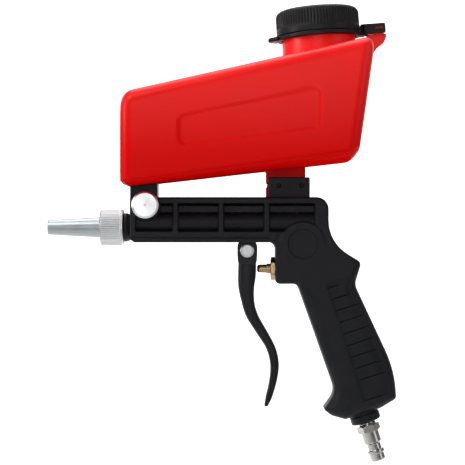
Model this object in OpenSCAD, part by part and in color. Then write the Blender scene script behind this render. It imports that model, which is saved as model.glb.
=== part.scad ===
// Gravity-feed air blasting gun: a hopper over a two-piece pistol body, a
// rotary media valve, a lever-worked air valve and a screwed nozzle.
// Millimetres. X runs from the nozzle outlet to the back, +Z is up, and the
// two body shells meet at Y = 0. The origin is the centre of the outlet.

/* [Nozzle and nut] */
// Length of the nozzle, from its outlet to its flange
nozzle_len = 45; // [38:1:60]
// Radius of the nozzle's tip
nozzle_tip_r = 5.15; // [4.5:0.05:6]
// Radius of the nozzle's root, where the nut holds it
nozzle_root_r = 7.6; // [6.5:0.1:8.5]
// Radius of the outlet bore
nozzle_bore_r = 3; // [1.5:0.1:3.5]
// Outer radius of the nut
nut_r = 12.65; // [12:0.05:16]
// Length of the nut
nut_len = 16.3; // [13:0.1:22]
// Thickness of the nozzle's washer
washer_t = 1.5; // [1:0.1:3]

/* [Body] */
// Length of the barrel part of the body
barrel_len = 137.4; // [110:0.2:170]
// Height of the barrel above the nozzle's axis
barrel_top = 20.9; // [20:0.1:26]
// Depth of the barrel below the nozzle's axis
barrel_drop = 10.5; // [10:0.1:13]
// Half of the body's width
half_w = 15; // [14:0.5:20]
// Depth of the pockets in each side
pocket_depth = 5; // [2:0.5:5.5]
// Half width of the feed post and of the rear block
post_half_w = 12; // [11:0.5:14]
// Width of the feed post, front to back
post_len = 18.8; // [18:0.2:24]
// Length of the rear block
block_len = 28.4; // [26:0.2:34]
// Height of the rear block above the barrel
block_h = 13.8; // [13:0.2:15]

/* [Handle] */
// Length of the handle, from the valve's axis to its foot
grip_len = 103.5; // [85:0.5:125]
// Lean of the handle
grip_lean = 17.7; // [10:0.1:22]
// Thickness of the handle's shell at its sides
grip_wall = 3; // [2:0.5:4]

/* [Hopper] */
// Length of the hopper
hopper_len = 170.2; // [140:0.2:210]
// Width of the hopper
hopper_w = 90; // [72:1:110]
// Height of the hopper's top at its front edge
hopper_top = 91.2; // [80:0.2:110]
// Rise of the hopper's top towards the back, in degrees
top_slope = 12.6; // [8:0.1:15]
// Thickness of the hopper's wall
hopper_wall = 2.2; // [1.6:0.1:3]
// Outer radius of the filling neck
neck_r = 25.1; // [20:0.1:31]
// Thickness of the neck's wall
neck_wall = 2.5; // [2:0.1:4]
// Thickness of the cap's wall
cap_wall = 2.75; // [2.3:0.05:4]
// Height of the cap
cap_h = 17.5; // [16:0.5:22]

/* [Trigger] */
// Height of the trigger's pivot, below the nozzle's axis
pivot_drop = 16; // [15.5:0.1:18]
// Length of the lever below its pivot
lever_len = 110.5; // [92:0.5:133]
// Radius of the trigger's pin
pin_r = 2.5; // [2:0.1:3]

/* [Air line] */
// Outer radius of the air pipes
pipe_r = 4.5; // [4:0.1:4.6]
// Bore radius of the air pipes
pipe_bore_r = 3; // [2:0.1:3.2]
// Radius of the valve stem
stem_r = 2.95; // [2.5:0.05:3.2]
// Outer radius of the valve body
valve_r = 8; // [7.5:0.1:8.4]
// Length of the valve body
valve_len = 39; // [36:0.5:44]
// Radius of the air plug's tip
plug_tip_r = 5.15; // [4.5:0.05:6]

/* [Hidden] */
$fn = 64;

// Fits between pieces that move on each other, and between separate bodies
run_fit = 0.05;
gap = 0.3;
// How far a cutting shape runs past the face that it cuts
over = 1;

// Stations along the nozzle's axis
spigot_r = 9.5;
spigot_len = 7;
collar_r = 10;
collar_len = 4.7;
spigot_x = nozzle_len + washer_t;
body_x = spigot_x + spigot_len + collar_len;
body_back = body_x + barrel_len;

// Media feed: outlet, rotary plug and port share one upright axis
feed_x = body_x + 10.8;
feed_plug_r = 5;
feed_plug_z = barrel_top - 5.5;
feed_bore_r = 3.6;
chamber_r = 4.5;
barrel_r = 7.5;
outlet_r = 4.6;
outlet_seal_r = 5.8;
outlet_end_z = barrel_top + 2.6;
knob_r = 9.35;
knob_t = 4.5;
post_end_x = body_x + post_len;

// Hopper lines, as heights over X
hopper_x = body_x - 5;
hopper_end = hopper_x + hopper_len;
crease_slope = 0.138;
crease_z = barrel_top + 9.7;
pan_slope = 0.114;
pan_z = crease_z - 1.7;
pan_inset = 2.5;
pan_side_inset = 2.8;
pan_end = hopper_end - 12;
rear_lean = 6.9;
hopper_corner_r = 8;
function crease_at(x) = crease_z + (x - hopper_x) * crease_slope;
function pan_at(x) = pan_z + (x - hopper_x) * pan_slope;
function roof_at(x) = hopper_top + (x - hopper_x) * tan(top_slope);
roof_end = roof_at(hopper_end);

// Rear block, and the hopper's tongue between its cheeks
block_x = body_back - 41.3;
block_top = barrel_top + block_h;
tongue_t = 10;
tongue_x = block_x - 1.8;
tongue_end = block_x + 25.7;
clamp_hole_r = 1.65;
clamp_hole_z = barrel_top + 8;
clamp_xs = [block_x + 6.9, block_x + 22.6];

// Neck frame: origin on the neck's axis in the plane of the cap's shoulder
neck_x = hopper_end - 34.2;
neck_stand = 13.2;
neck_lean = 4;
neck_z = roof_at(neck_x) + neck_stand;
neck_rise = 10.5;
ring_t = 3;
seal_t = 2;
cap_bore_r = neck_r + 1.3;
cap_r = cap_bore_r + cap_wall;
swivel_r = cap_bore_r + 1;
tether_x = cap_r + 12.95;
tether_z = -0.9;
band_bottom = -2.6;
band_top = 4.3;
knuckle_r = 3.6;
cheek_in = 5.3;
cheek_out = 7.3;
tether_pin_r = 1.2;

// Handle frame: s runs down the handle from the valve's axis, t to the back
valve_z = -barrel_drop - 18.3;
housing_x = body_back - 36.7;
handle_x = housing_x + 29.85;
function hx(s, t) = handle_x + s * sin(grip_lean) + t * cos(grip_lean);
function hz(s, t) = valve_z - s * cos(grip_lean) + t * sin(grip_lean);
function handle_corner(s, t, r) = [hx(s, t), hz(s, t), r];

// Air valve
valve_x = housing_x + 2;
gland_r = 5.5;
gland_hex_r = 8.2;
gland_hex_t = 3.3;
gland_len = 8.5;
stem_ring_r = 0.7;
stem_ring_at = stem_r + run_fit + stem_ring_r;
seat_bore_r = 4;
seat_x = valve_x + 16;
chamber_end_x = valve_x + valve_len - 6;
poppet_r = 4.8;
poppet_t = 4;
spring_r = 4.2;
spring_wire_r = 0.45;
spring_turns = 6;
port_x = valve_x + 12.6;
port_boss_r = 6.5;
port_boss_top = valve_z + 13.8;
port_socket = 5;
elbow_r = 9;
inlet_r = 5;
inlet_bore_r = 3;
inlet_boss_r = 7.5;
inlet_top = 8.5;
inlet_boss_end = 17;
tail_r = 2;

// Inlet at the handle's foot, measured down the handle
collar_groove = 3.2;
collar_flange = 5.4;
collar_spigot = 8;
inlet_collar_r = 10.5;
inlet_spigot_r = 8;
thread_r = 6.2;
plug_from = grip_len + collar_groove + collar_flange;

// Trigger
pivot_x = housing_x - 19.5;
pivot_z = -pivot_drop;
hub_r = 7.1;
lug_r = 5.5;
lug_half_w = 4;
cheek_half_w = 8;
lever_half_w = 6.5;
lever_face = 6.5;
stem_tip_x = pivot_x + lever_face + gap;

// Body screws: X and Z in the barrel, s and t in the handle
screw_r = 1.5;
screw_head_r = 3.2;
screw_head_t = 2.2;
screw_boss_r = 4.2;
screw_seat = half_w - 3;
screw_tip = half_w - pocket_depth - 2.5;
barrel_screws_z = barrel_top - 8.4;
rib_t = 2.9;
pocket_x = body_x + 3.6;
pocket_count = 4;
pocket_end_x = body_back - 9.3;
pocket_pitch = (pocket_end_x - pocket_x) / 3.95;
pocket_bottom = -barrel_drop + 7.2;
pocket_top = barrel_top - 4;
function pocket_start(i) = i == 0 ? pocket_x : pocket_x - 2.1 + i * pocket_pitch;
function pocket_end(i) = i == pocket_count - 1 ? pocket_end_x : pocket_start(i + 1) - rib_t;
function pocket_at(i, share) = pocket_start(i) + (pocket_end(i) - pocket_start(i)) * share;
barrel_screws = [for (i = [0 : pocket_count - 1]) pocket_at(i, i == 0 ? 0.84 : 0.5)];
handle_screws = [[6, 18.8], [grip_len * 0.46, 14], [grip_len - 11.5, 14.5]];
boss_r = 15.1;
boss_x = body_back - 17.8;
boss_z = valve_z + 17.2;
barrel_flange_x = pocket_start(1) - rib_t + 0.4;

// ---------- Helpers ----------

function unit(v) = v / norm(v);
function turn(a) = a > 180 ? a - 360 : (a < -180 ? a + 360 : a);

// Arc of radius r that rounds the corner b between the points a and c
function corner_arc(a, b, c, r, n) =
    let (u = unit(a - b),
         v = unit(c - b),
         half = acos(u * v) / 2,
         start = b + u * r / tan(half),
         end = b + v * r / tan(half),
         o = b + unit(u + v) * r / sin(half),
         a0 = atan2(start[1] - o[1], start[0] - o[0]),
         sweep = turn(atan2(end[1] - o[1], end[0] - o[0]) - a0))
    [for (i = [0 : n]) o + r * [cos(a0 + sweep * i / n), sin(a0 + sweep * i / n)]];

// Outline through corners given as [x, z, radius]
function rounded(pts, n = 7) =
    let (m = len(pts))
    [for (i = [0 : m - 1])
        let (b = [pts[i][0], pts[i][1]],
             p = pts[(i + m - 1) % m],
             q = pts[(i + 1) % m])
        each (pts[i][2] > 0 ? corner_arc([p[0], p[1]], b, [q[0], q[1]], pts[i][2], n) : [b])];

// Side-view shape given a thickness between two Y values
module slab(y0, y1) {
    translate([0, y1, 0])
        rotate([90, 0, 0])
            linear_extrude(height = y1 - y0)
                children();
}

// Rods along each direction
module rod_x(x0, x1, r, z = 0, r2 = 0) {
    translate([x0, 0, z])
        rotate([0, 90, 0])
            cylinder(h = x1 - x0, r1 = r, r2 = r2 > 0 ? r2 : r);
}

module rod_y(x, z, r, y0, y1) {
    translate([x, y0, z])
        rotate([-90, 0, 0])
            cylinder(h = y1 - y0, r = r);
}

module rod_z(x, z0, z1, r) {
    translate([x, 0, z0])
        cylinder(h = z1 - z0, r = r);
}

// Frames: the neck's own, and the handle's with +Z down the handle
module at_neck() {
    translate([neck_x, 0, neck_z])
        rotate([0, -neck_lean, 0])
            children();
}

module at_handle(s) {
    translate([handle_x, 0, valve_z])
        rotate([0, 180 - grip_lean, 0])
            translate([0, 0, s])
                children();
}

// Ring of round section about the Z axis
module o_ring(centre_r, section_r) {
    rotate_extrude()
        translate([centre_r, 0])
            circle(r = section_r);
}

// ---------- Body ----------

function body_outline() = rounded([
    [body_x, barrel_top, 1],
    [body_back, barrel_top, 7],
    [body_back, -barrel_drop, 27],
    handle_corner(4.7, 29.4, 2.5),
    handle_corner(18.7, 19.9, 9),
    handle_corner(grip_len - 19.6, 29, 78),
    handle_corner(grip_len - 0.2, 23.4, 3.5),
    handle_corner(grip_len, -15.3, 4),
    handle_corner(grip_len - 11.4, -26.4, 1.2),
    handle_corner(grip_len - 21.6, -14.8, 6),
    handle_corner(5.4, -17.1, 5),
    [housing_x, valve_z - valve_r - 2.4, 3],
    [housing_x, -barrel_drop, 4.5],
    [body_x + 3.2, -barrel_drop, 0],
    [body_x, -barrel_drop + 2.2, 0]]);

function cavity_outline() = rounded([
    handle_corner(24, -13.2, 3),
    handle_corner(24, 16.4, 3),
    handle_corner(grip_len - 20, 25, 8),
    handle_corner(grip_len - 8, 21, 3),
    handle_corner(grip_len - 8, -11.6, 3)]);

// Feed post, rear block and trigger lug that stand on the body's outline
module post_shapes() {
    polygon([[body_x, barrel_top - 4],
        [post_end_x, barrel_top - 4],
        [post_end_x, pan_at(post_end_x) - gap],
        [body_x, pan_at(body_x) - gap]]);
    polygon(rounded([[block_x, barrel_top - over, 0],
        [block_x + block_len, barrel_top - over, 0],
        [block_x + block_len, block_top, 1],
        [block_x, block_top, 1]]));
}

module lug_shape() {
    translate([pivot_x, pivot_z])
        circle(r = lug_r);
    translate([pivot_x - lug_r, pivot_z])
        square([2 * lug_r, -barrel_drop - pivot_z + over]);
}

// Pockets between ribs in the outer face, cut short by the round boss
module pockets() {
    for (i = [0 : pocket_count - 1])
        slab(-half_w - over, -half_w + pocket_depth)
            difference() {
                translate([pocket_start(i), pocket_bottom])
                    square([pocket_end(i) - pocket_start(i), pocket_top - pocket_bottom]);
                translate([boss_x, boss_z])
                    circle(r = boss_r);
                if (i == 0)
                    translate([feed_x, feed_plug_z])
                        circle(r = knob_r + 0.4);
            }
}

// Room inside for the barrel, the air line and the valve
module inner_room() {
    rod_x(body_x - over, spigot_x + 49.5, barrel_r);
    rod_x(barrel_flange_x, barrel_flange_x + 2.2, 9);
    rod_x(spigot_x + 49, spigot_x + 53, barrel_r);
    rod_x(spigot_x + 52, port_x - elbow_r, pipe_r);
    elbow(pipe_r);
    rod_z(port_x, port_boss_top - over, -elbow_r, pipe_r);
    rod_z(port_x, valve_z, port_boss_top, port_boss_r);
    rod_x(housing_x - over, valve_x + over, gland_r + 0.1, valve_z);
    rod_x(valve_x, valve_x + valve_len + 2.3, valve_r, valve_z);
    at_handle(0)
        cylinder(h = inlet_boss_end, r = inlet_boss_r);
    at_handle(inlet_boss_end - over)
        cylinder(h = 10, r = inlet_r);
    at_handle(grip_len - collar_spigot - over)
        cylinder(h = collar_spigot + 4, r = inlet_spigot_r);
    rod_z(feed_x, 0, outlet_end_z, feed_bore_r);
    rod_z(feed_x, outlet_end_z - 1, pan_at(post_end_x) + 2, outlet_seal_r);
    slab(-tongue_t / 2, tongue_t / 2)
        translate([block_x - over, barrel_top])
            square([block_len + 2 * over, block_h + over]);
}

module elbow(r) {
    translate([port_x - elbow_r, 0, -elbow_r])
        rotate([90, 0, 0])
            rotate_extrude(angle = 90)
                translate([elbow_r, 0])
                    circle(r = r);
}

// Shell on the -Y side; the right shell is its mirror image
module half_shell() {
    difference() {
        union() {
            slab(-half_w, 0)
                polygon(body_outline());
            slab(-post_half_w, 0)
                post_shapes();
            slab(-lug_half_w, 0)
                lug_shape();
        }
        difference() {
            pockets();
            for (x = barrel_screws)
                rod_y(x, barrel_screws_z, screw_boss_r, -screw_seat, 0);
        }
        difference() {
            slab(-half_w + grip_wall, over)
                polygon(cavity_outline());
            for (p = [handle_screws[1], handle_screws[2]])
                rod_y(hx(p[0], p[1]), hz(p[0], p[1]), screw_boss_r, -half_w, 2 * over);
        }
        inner_room();
        rod_y(feed_x, feed_plug_z, feed_plug_r + run_fit, -half_w - over, over);
        rod_y(pivot_x, pivot_z, pin_r, -half_w, over);
        difference() {
            rod_y(pivot_x, pivot_z, hub_r + 0.5, -half_w + 6, over);
            rod_y(pivot_x, pivot_z, hub_r + over, -lug_half_w, 2 * over);
        }
        for (x = clamp_xs)
            rod_y(x, clamp_hole_z, clamp_hole_r, -half_w - over, over);
    }
}

function screw_points() = concat(
    [for (x = barrel_screws) [x, barrel_screws_z]],
    [for (p = handle_screws) [hx(p[0], p[1]), hz(p[0], p[1])]]);

module body_left() {
    color("#242427")
        difference() {
            half_shell();
            translate([boss_x, -half_w + 0.6, boss_z])
                rotate([90, 0, 0])
                    cylinder(h = over, r = boss_r * 0.69);
            for (p = screw_points())
                rod_y(p[0], p[1], screw_r, -screw_tip, over);
        }
}

module body_right() {
    color("#242427")
        difference() {
            mirror([0, 1, 0])
                half_shell();
            for (p = screw_points()) {
                rod_y(p[0], p[1], screw_r + 0.1, -over, half_w + over);
                rod_y(p[0], p[1], screw_head_r + 0.3, screw_seat, half_w + over);
            }
        }
}

// Cross-recessed pan-head screw, pointing to -Y
module screw(x, z, seat, tip, r, head_r, head_t) {
    difference() {
        union() {
            rod_y(x, z, r, -tip, seat + 0.1);
            rod_y(x, z, head_r, seat, seat + head_t);
        }
        for (a = [0, 90])
            translate([x, seat + head_t, z])
                rotate([0, a, 0])
                    cube([head_r * 1.1, head_t, 0.7], center = true);
    }
}

module body_screws() {
    color("#3c3c40")
        for (p = screw_points())
            screw(p[0], p[1], screw_seat, screw_tip, screw_r, screw_head_r, screw_head_t);
}

// ---------- Hopper ----------

function hopper_outline() = rounded([
    [hopper_x, crease_at(hopper_x), 8],
    [hopper_x, hopper_top, 7],
    [hopper_end, roof_end, 9],
    [hopper_end - (roof_end - crease_at(hopper_end)) * tan(rear_lean),
        crease_at(hopper_end - 9), 6]]);

function pan_outline() = rounded([
    [hopper_x + pan_inset, crease_at(hopper_x) + 8, 0],
    [hopper_x + pan_inset, pan_at(hopper_x + pan_inset), 4],
    [pan_end, pan_at(pan_end), 4],
    [pan_end, crease_at(pan_end) + 8, 0]]);

// Upright corners: straight at the front, leaning with the rear face
module upright_corners(inset) {
    w = hopper_w - 2 * inset;
    r = hopper_corner_r - inset;
    intersection() {
        translate([hopper_x + inset, 0, 0])
            corner_block(w, r);
        translate([hopper_end - inset, 0, roof_end])
            rotate([0, rear_lean, 0])
                mirror([1, 0, 0])
                    translate([0, 0, -300])
                        corner_block(w, r);
    }
}

module corner_block(w, r) {
    linear_extrude(height = 400)
        polygon(rounded([[0, -w / 2, r], [300, -w / 2, 0], [300, w / 2, 0], [0, w / 2, r]]));
}

module tank(inset) {
    intersection() {
        slab(-hopper_w / 2 + inset, hopper_w / 2 - inset)
            offset(delta = -inset)
                polygon(hopper_outline());
        upright_corners(inset);
    }
    slab(-hopper_w / 2 + pan_side_inset + inset, hopper_w / 2 - pan_side_inset - inset)
        offset(delta = -inset)
            polygon(pan_outline());
}

module lug_gusset() {
    at_neck() {
        slab(-cheek_in + gap, cheek_in - gap)
            polygon([[tether_x - 8.2, band_bottom - 0.2],
                [tether_x + 4.9, band_bottom - 0.2],
                [tether_x + 4.9, band_bottom - 2],
                [tether_x + 2.9, band_bottom - 6.6],
                [tether_x - 1.4, band_bottom - 9.4],
                [tether_x - 4.7, band_bottom - 13.1],
                [tether_x - 10, band_bottom - 19],
                [tether_x - 14, band_bottom - 10]]);
        rod_y(tether_x, tether_z, knuckle_r, -cheek_in + gap, cheek_in - gap);
    }
}

module hopper() {
    color("#d8211c")
        difference() {
            union() {
                tank(0);
                at_neck()
                    translate([0, 0, -20])
                        cylinder(h = 20 + neck_rise, r = neck_r);
                rod_z(feed_x, outlet_end_z, pan_at(feed_x) + 3, outlet_r);
                slab(-tongue_t / 2, tongue_t / 2)
                    polygon([[tongue_x, barrel_top],
                        [tongue_end, barrel_top],
                        [tongue_end, pan_at(tongue_end) + 1],
                        [tongue_x, pan_at(tongue_x) + 1]]);
                lug_gusset();
            }
            tank(hopper_wall);
            at_neck()
                translate([0, 0, -30])
                    cylinder(h = 60, r = neck_r - neck_wall);
            rod_z(feed_x, outlet_end_z - over, pan_at(feed_x) + 6, feed_bore_r);
            slab(-tongue_t, tongue_t)
                translate([tongue_x - over, clamp_hole_z - 1.2])
                    square([over + 1, 2.8]);
            for (x = clamp_xs)
                rod_y(x, clamp_hole_z, clamp_hole_r, -tongue_t, tongue_t);
            at_neck()
                rod_y(tether_x, tether_z, tether_pin_r + run_fit, -tongue_t, tongue_t);
        }
}

module hopper_screws() {
    color("#3c3c40")
        for (x = clamp_xs)
            screw(x, clamp_hole_z, post_half_w, post_half_w - 3, clamp_hole_r, 3.2, 2);
}

module outlet_seal() {
    color("#1b1b1b")
        translate([feed_x, 0, outlet_end_z])
            difference() {
                cylinder(h = pan_at(body_x) - gap - outlet_end_z, r = outlet_seal_r);
                translate([0, 0, -over])
                    cylinder(h = 20, r = outlet_r);
            }
}

// Cap with a lower collar that turns inside the tether's ring
module hopper_cap() {
    color("#28292b")
        at_neck()
            difference() {
                union() {
                    cylinder(h = cap_h - 3, r = cap_r);
                    translate([0, 0, cap_h - 3])
                        cylinder(h = 3, r1 = cap_r, r2 = cap_r - 3);
                    translate([0, 0, -gap - ring_t])
                        cylinder(h = ring_t + 1, r = swivel_r);
                    translate([0, 0, -gap - ring_t])
                        cylinder(h = 0.8, r = swivel_r + 0.9);
                }
                translate([0, 0, -10])
                    cylinder(h = 10 + neck_rise + gap + seal_t, r = cap_bore_r);
            }
}

module cap_seal() {
    color("#d9d4c4")
        at_neck()
            translate([0, 0, neck_rise + gap])
                cylinder(h = seal_t, r = cap_bore_r);
}

// Ring under the cap, with its thumb tab and the cheeks that hinge on the lug
module cap_tether() {
    color("#28292b")
        at_neck() {
            difference() {
                union() {
                    translate([0, 0, -gap - ring_t])
                        cylinder(h = ring_t, r = cap_r);
                    intersection() {
                        slab(-7, 7)
                            polygon(rounded([[-cap_r - 6.2, -gap - ring_t, 1.2],
                                [-cap_r - 6.2, -gap, 1.2],
                                [-cap_r + 3, -gap, 0],
                                [-cap_r + 3, -gap - ring_t, 0]]));
                        translate([-cap_r + 1, 0, -10])
                            cylinder(h = 20, r = 7.2);
                    }
                    slab(-cheek_out, cheek_out)
                        polygon(rounded([[cap_r - 3, -gap - ring_t, 0],
                            [cap_r + 3.5, -gap - ring_t, 0],
                            [cap_r + 4.2, band_bottom, 0],
                            [tether_x + 4.4, band_bottom, 0.8],
                            [tether_x + 4.4, band_top, 1],
                            [cap_r, band_top, 0.5],
                            [cap_r - 3, band_top - 1, 0]]));
                }
                translate([0, 0, -gap - ring_t - over])
                    cylinder(h = ring_t + over, r = swivel_r + gap);
                translate([0, 0, -gap - ring_t - over])
                    cylinder(h = over + 1.1, r = swivel_r + 1.2);
                translate([0, 0, -gap])
                    cylinder(h = cap_h, r = cap_r + 0.5);
                translate([cap_r + 3.4, -cheek_in, -10])
                    cube([30, 2 * cheek_in, 30]);
                slab(-cheek_out - over, cheek_out + over)
                    translate([tether_x - 2.7, tether_z + 1.6])
                        square([5.4, 1.4]);
            }
            rod_y(tether_x, tether_z, tether_pin_r, -cheek_in - over, cheek_in + over);
        }
}

// ---------- Media valve ----------

module feed_valve() {
    color("#b9bbbe")
        difference() {
            union() {
                rod_y(feed_x, feed_plug_z, feed_plug_r, -half_w, half_w);
                rod_y(feed_x, feed_plug_z, 3, -half_w - knob_t + 1, 0);
                rod_y(feed_x, feed_plug_z, 4.4, 0, half_w + 2.4);
            }
            rod_z(feed_x, feed_plug_z - 10, feed_plug_z + 10, feed_bore_r);
            for (y = [-9.5, 9.5])
                ring_cut(feed_x, feed_plug_z, 3.5, feed_plug_r + over, y - 0.8, y + 0.8);
            ring_cut(feed_x, feed_plug_z, 3.6, 6, half_w + gap, half_w + gap + 0.8);
        }
}

module ring_cut(x, z, r_in, r_out, y0, y1) {
    difference() {
        rod_y(x, z, r_out, y0, y1);
        rod_y(x, z, r_in, y0 - over, y1 + over);
    }
}

module flow_knob() {
    color("#e6e8ea")
        difference() {
            union() {
                rod_y(feed_x, feed_plug_z, knob_r, -half_w - gap - knob_t + 0.6, -half_w - gap);
                translate([feed_x, -half_w - gap - knob_t + 0.6, feed_plug_z])
                    rotate([90, 0, 0])
                        cylinder(h = 0.6, r1 = knob_r, r2 = knob_r - 0.6);
            }
            rod_y(feed_x, feed_plug_z, 3, -half_w - knob_t + 1, 0);
        }
}

module feed_valve_seals() {
    color("#1b1b1b")
        for (y = [-9.5, 9.5])
            translate([feed_x, y, feed_plug_z])
                rotate([90, 0, 0])
                    o_ring(4.25, 0.75);
}

module feed_valve_clip() {
    color("#8f9296")
        difference() {
            ring_cut(feed_x, feed_plug_z, 3.6, 6.6, half_w + gap, half_w + gap + 0.8);
            translate([feed_x - 2, half_w, feed_plug_z - 10])
                cube([4, 5, 10]);
        }
}

// ---------- Barrel and nozzle ----------

module mixing_barrel() {
    color("#222224")
        difference() {
            union() {
                rod_x(spigot_x, spigot_x + spigot_len + over, spigot_r);
                rod_x(spigot_x + spigot_len, body_x, collar_r, 0, spigot_r - 0.5);
                rod_x(body_x - over, spigot_x + 49.5, barrel_r);
                rod_x(barrel_flange_x, barrel_flange_x + 2.2, 9);
            }
            rod_x(spigot_x - over, spigot_x + 36, chamber_r);
            rod_x(spigot_x + 35.5, spigot_x + 60, 5);
            rod_z(feed_x, 0, 20, feed_bore_r);
        }
}

module nozzle() {
    flange_x = nozzle_len - 2.5;
    color("#c9cbce")
        difference() {
            union() {
                rod_x(0.6, flange_x + 0.1, nozzle_tip_r, 0, nozzle_root_r);
                rod_x(0, 0.6, nozzle_tip_r - 0.6, 0, nozzle_tip_r);
                rod_x(flange_x, nozzle_len, 9.2);
            }
            rod_x(-over, nozzle_len, nozzle_bore_r);
            rod_x(nozzle_len - 15, nozzle_len + 0.01, nozzle_bore_r, 0, chamber_r);
        }
}

module nozzle_nut() {
    nut_end = spigot_x + spigot_len - gap;
    color("#b9babd")
        difference() {
            union() {
                rod_x(nut_end - nut_len + 0.8, nut_end - 0.8, nut_r);
                rod_x(nut_end - nut_len, nut_end - nut_len + 0.8, nut_r - 0.8, 0, nut_r);
                rod_x(nut_end - 0.8, nut_end, nut_r, 0, nut_r - 0.8);
            }
            rod_x(0, nozzle_len, nozzle_root_r + 0.4);
            rod_x(nozzle_len - 2.5 - gap, nut_end + over, spigot_r + run_fit);
        }
}

module nozzle_washer() {
    color("#1b1b1b")
        difference() {
            rod_x(nozzle_len, spigot_x, 9.2);
            rod_x(nozzle_len - over, spigot_x + over, chamber_r);
        }
}

module air_jet() {
    color("#b8975a")
        difference() {
            union() {
                rod_x(spigot_x + 20, spigot_x + 37, 2.6);
                rod_x(spigot_x + 36, spigot_x + 50, 5);
                rod_x(spigot_x + 49.5, spigot_x + 52, 6.4);
                rod_x(spigot_x + 51.5, spigot_x + 60, pipe_bore_r);
            }
            rod_x(spigot_x, spigot_x + 40, 1.3);
            rod_x(spigot_x + 38, spigot_x + 61, 2);
        }
}

module air_pipe() {
    color("#c39a6b")
        difference() {
            union() {
                rod_x(spigot_x + 52, port_x - elbow_r, pipe_r);
                elbow(pipe_r);
                rod_z(port_x, port_boss_top - port_socket, -elbow_r, pipe_r);
            }
            rod_x(spigot_x + 51, port_x - elbow_r, pipe_bore_r);
            elbow(pipe_bore_r);
            rod_z(port_x, port_boss_top - port_socket - over, -elbow_r, pipe_bore_r);
        }
}

// ---------- Air valve ----------

module valve_body() {
    color("#b8975a")
        difference() {
            union() {
                rod_x(valve_x, valve_x + valve_len, valve_r, valve_z);
                rod_z(port_x, valve_z, port_boss_top, port_boss_r);
                at_handle(0)
                    cylinder(h = inlet_boss_end, r = inlet_boss_r);
            }
            rod_x(valve_x - over, valve_x + gland_len, gland_r, valve_z);
            rod_x(valve_x, seat_x + over, seat_bore_r, valve_z);
            rod_x(seat_x, valve_x + valve_len + over, gland_r, valve_z);
            rod_z(port_x, valve_z, port_boss_top + over, pipe_bore_r);
            rod_z(port_x, port_boss_top - port_socket, port_boss_top + over, pipe_r);
            at_handle(0)
                cylinder(h = inlet_boss_end + over, r = inlet_bore_r);
            at_handle(inlet_top)
                cylinder(h = inlet_boss_end, r = inlet_r);
        }
}

module valve_gland() {
    color("#b8975a")
        difference() {
            union() {
                translate([housing_x - gland_hex_t, 0, valve_z])
                    rotate([0, 90, 0])
                        cylinder(h = gland_hex_t, r = gland_hex_r, $fn = 6);
                rod_x(housing_x - 0.5, valve_x + gland_len, gland_r, valve_z);
            }
            rod_x(housing_x - 10, valve_x + 20, stem_r + run_fit, valve_z);
            rod_x(valve_x + gland_len - 2.4, valve_x + gland_len + over, stem_ring_at + stem_ring_r, valve_z);
        }
}

module stem_seal() {
    color("#1b1b1b")
        translate([valve_x + gland_len - 1.2, 0, valve_z])
            rotate([0, 90, 0])
                o_ring(stem_ring_at, stem_ring_r);
}

module valve_stem() {
    poppet_x = seat_x + gap + 1.5;
    color("#b8975a") {
        translate([stem_tip_x + stem_r, 0, valve_z])
            sphere(r = stem_r);
        rod_x(stem_tip_x + stem_r, valve_x + gland_len + 1.5, stem_r, valve_z);
        rod_x(valve_x + gland_len, poppet_x + over, tail_r, valve_z);
        rod_x(poppet_x, poppet_x + poppet_t, poppet_r, valve_z);
        rod_x(poppet_x + poppet_t - 0.5, poppet_x + poppet_t + 5.5, tail_r, valve_z);
    }
}

module poppet_seal() {
    color("#1b1b1b")
        difference() {
            rod_x(seat_x + gap, seat_x + gap + 1.5, poppet_r, valve_z);
            rod_x(seat_x, seat_x + 3, tail_r, valve_z);
        }
}

// Coil spring behind the poppet, drawn at its length with the valve shut
module valve_spring() {
    from = seat_x + gap + 1.5 + poppet_t + 0.05;
    to = chamber_end_x - 0.05;
    mean_r = spring_r - spring_wire_r;
    steps = 14;
    sides = 8;
    rings = spring_turns * steps;
    pitch = (to - from - 2 * spring_wire_r) / spring_turns;
    points = [for (i = [0 : rings])
        let (a = 360 * i / steps)
        for (j = [0 : sides - 1])
            let (b = 360 * j / sides,
                 r = mean_r + spring_wire_r * cos(b))
            [from + spring_wire_r + pitch * i / steps + spring_wire_r * sin(b),
             r * cos(a),
             valve_z + r * sin(a)]];
    faces = concat(
        [for (i = [0 : rings - 1])
            for (j = [0 : sides - 1])
                let (k = (j + 1) % sides)
                [i * sides + j, i * sides + k, (i + 1) * sides + k, (i + 1) * sides + j]],
        [[for (j = [sides - 1 : -1 : 0]) j]],
        [[for (j = [0 : sides - 1]) rings * sides + j]]);
    color("#a9abae")
        polyhedron(points = points, faces = faces, convexity = 8);
}

module valve_plug() {
    color("#b8975a")
        difference() {
            union() {
                rod_x(chamber_end_x, valve_x + valve_len + 0.5, gland_r, valve_z);
                rod_x(valve_x + valve_len, valve_x + valve_len + 2.2, valve_r - 0.5, valve_z);
            }
            rod_x(chamber_end_x - over, chamber_end_x + 4.5, tail_r + 0.4, valve_z);
        }
}

// ---------- Air inlet ----------

module inlet_pipe() {
    color("#c39a6b")
        difference() {
            at_handle(inlet_top)
                cylinder(h = grip_len - inlet_top, r = inlet_r);
            at_handle(inlet_top - over)
                cylinder(h = grip_len, r = inlet_bore_r);
        }
}

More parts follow.
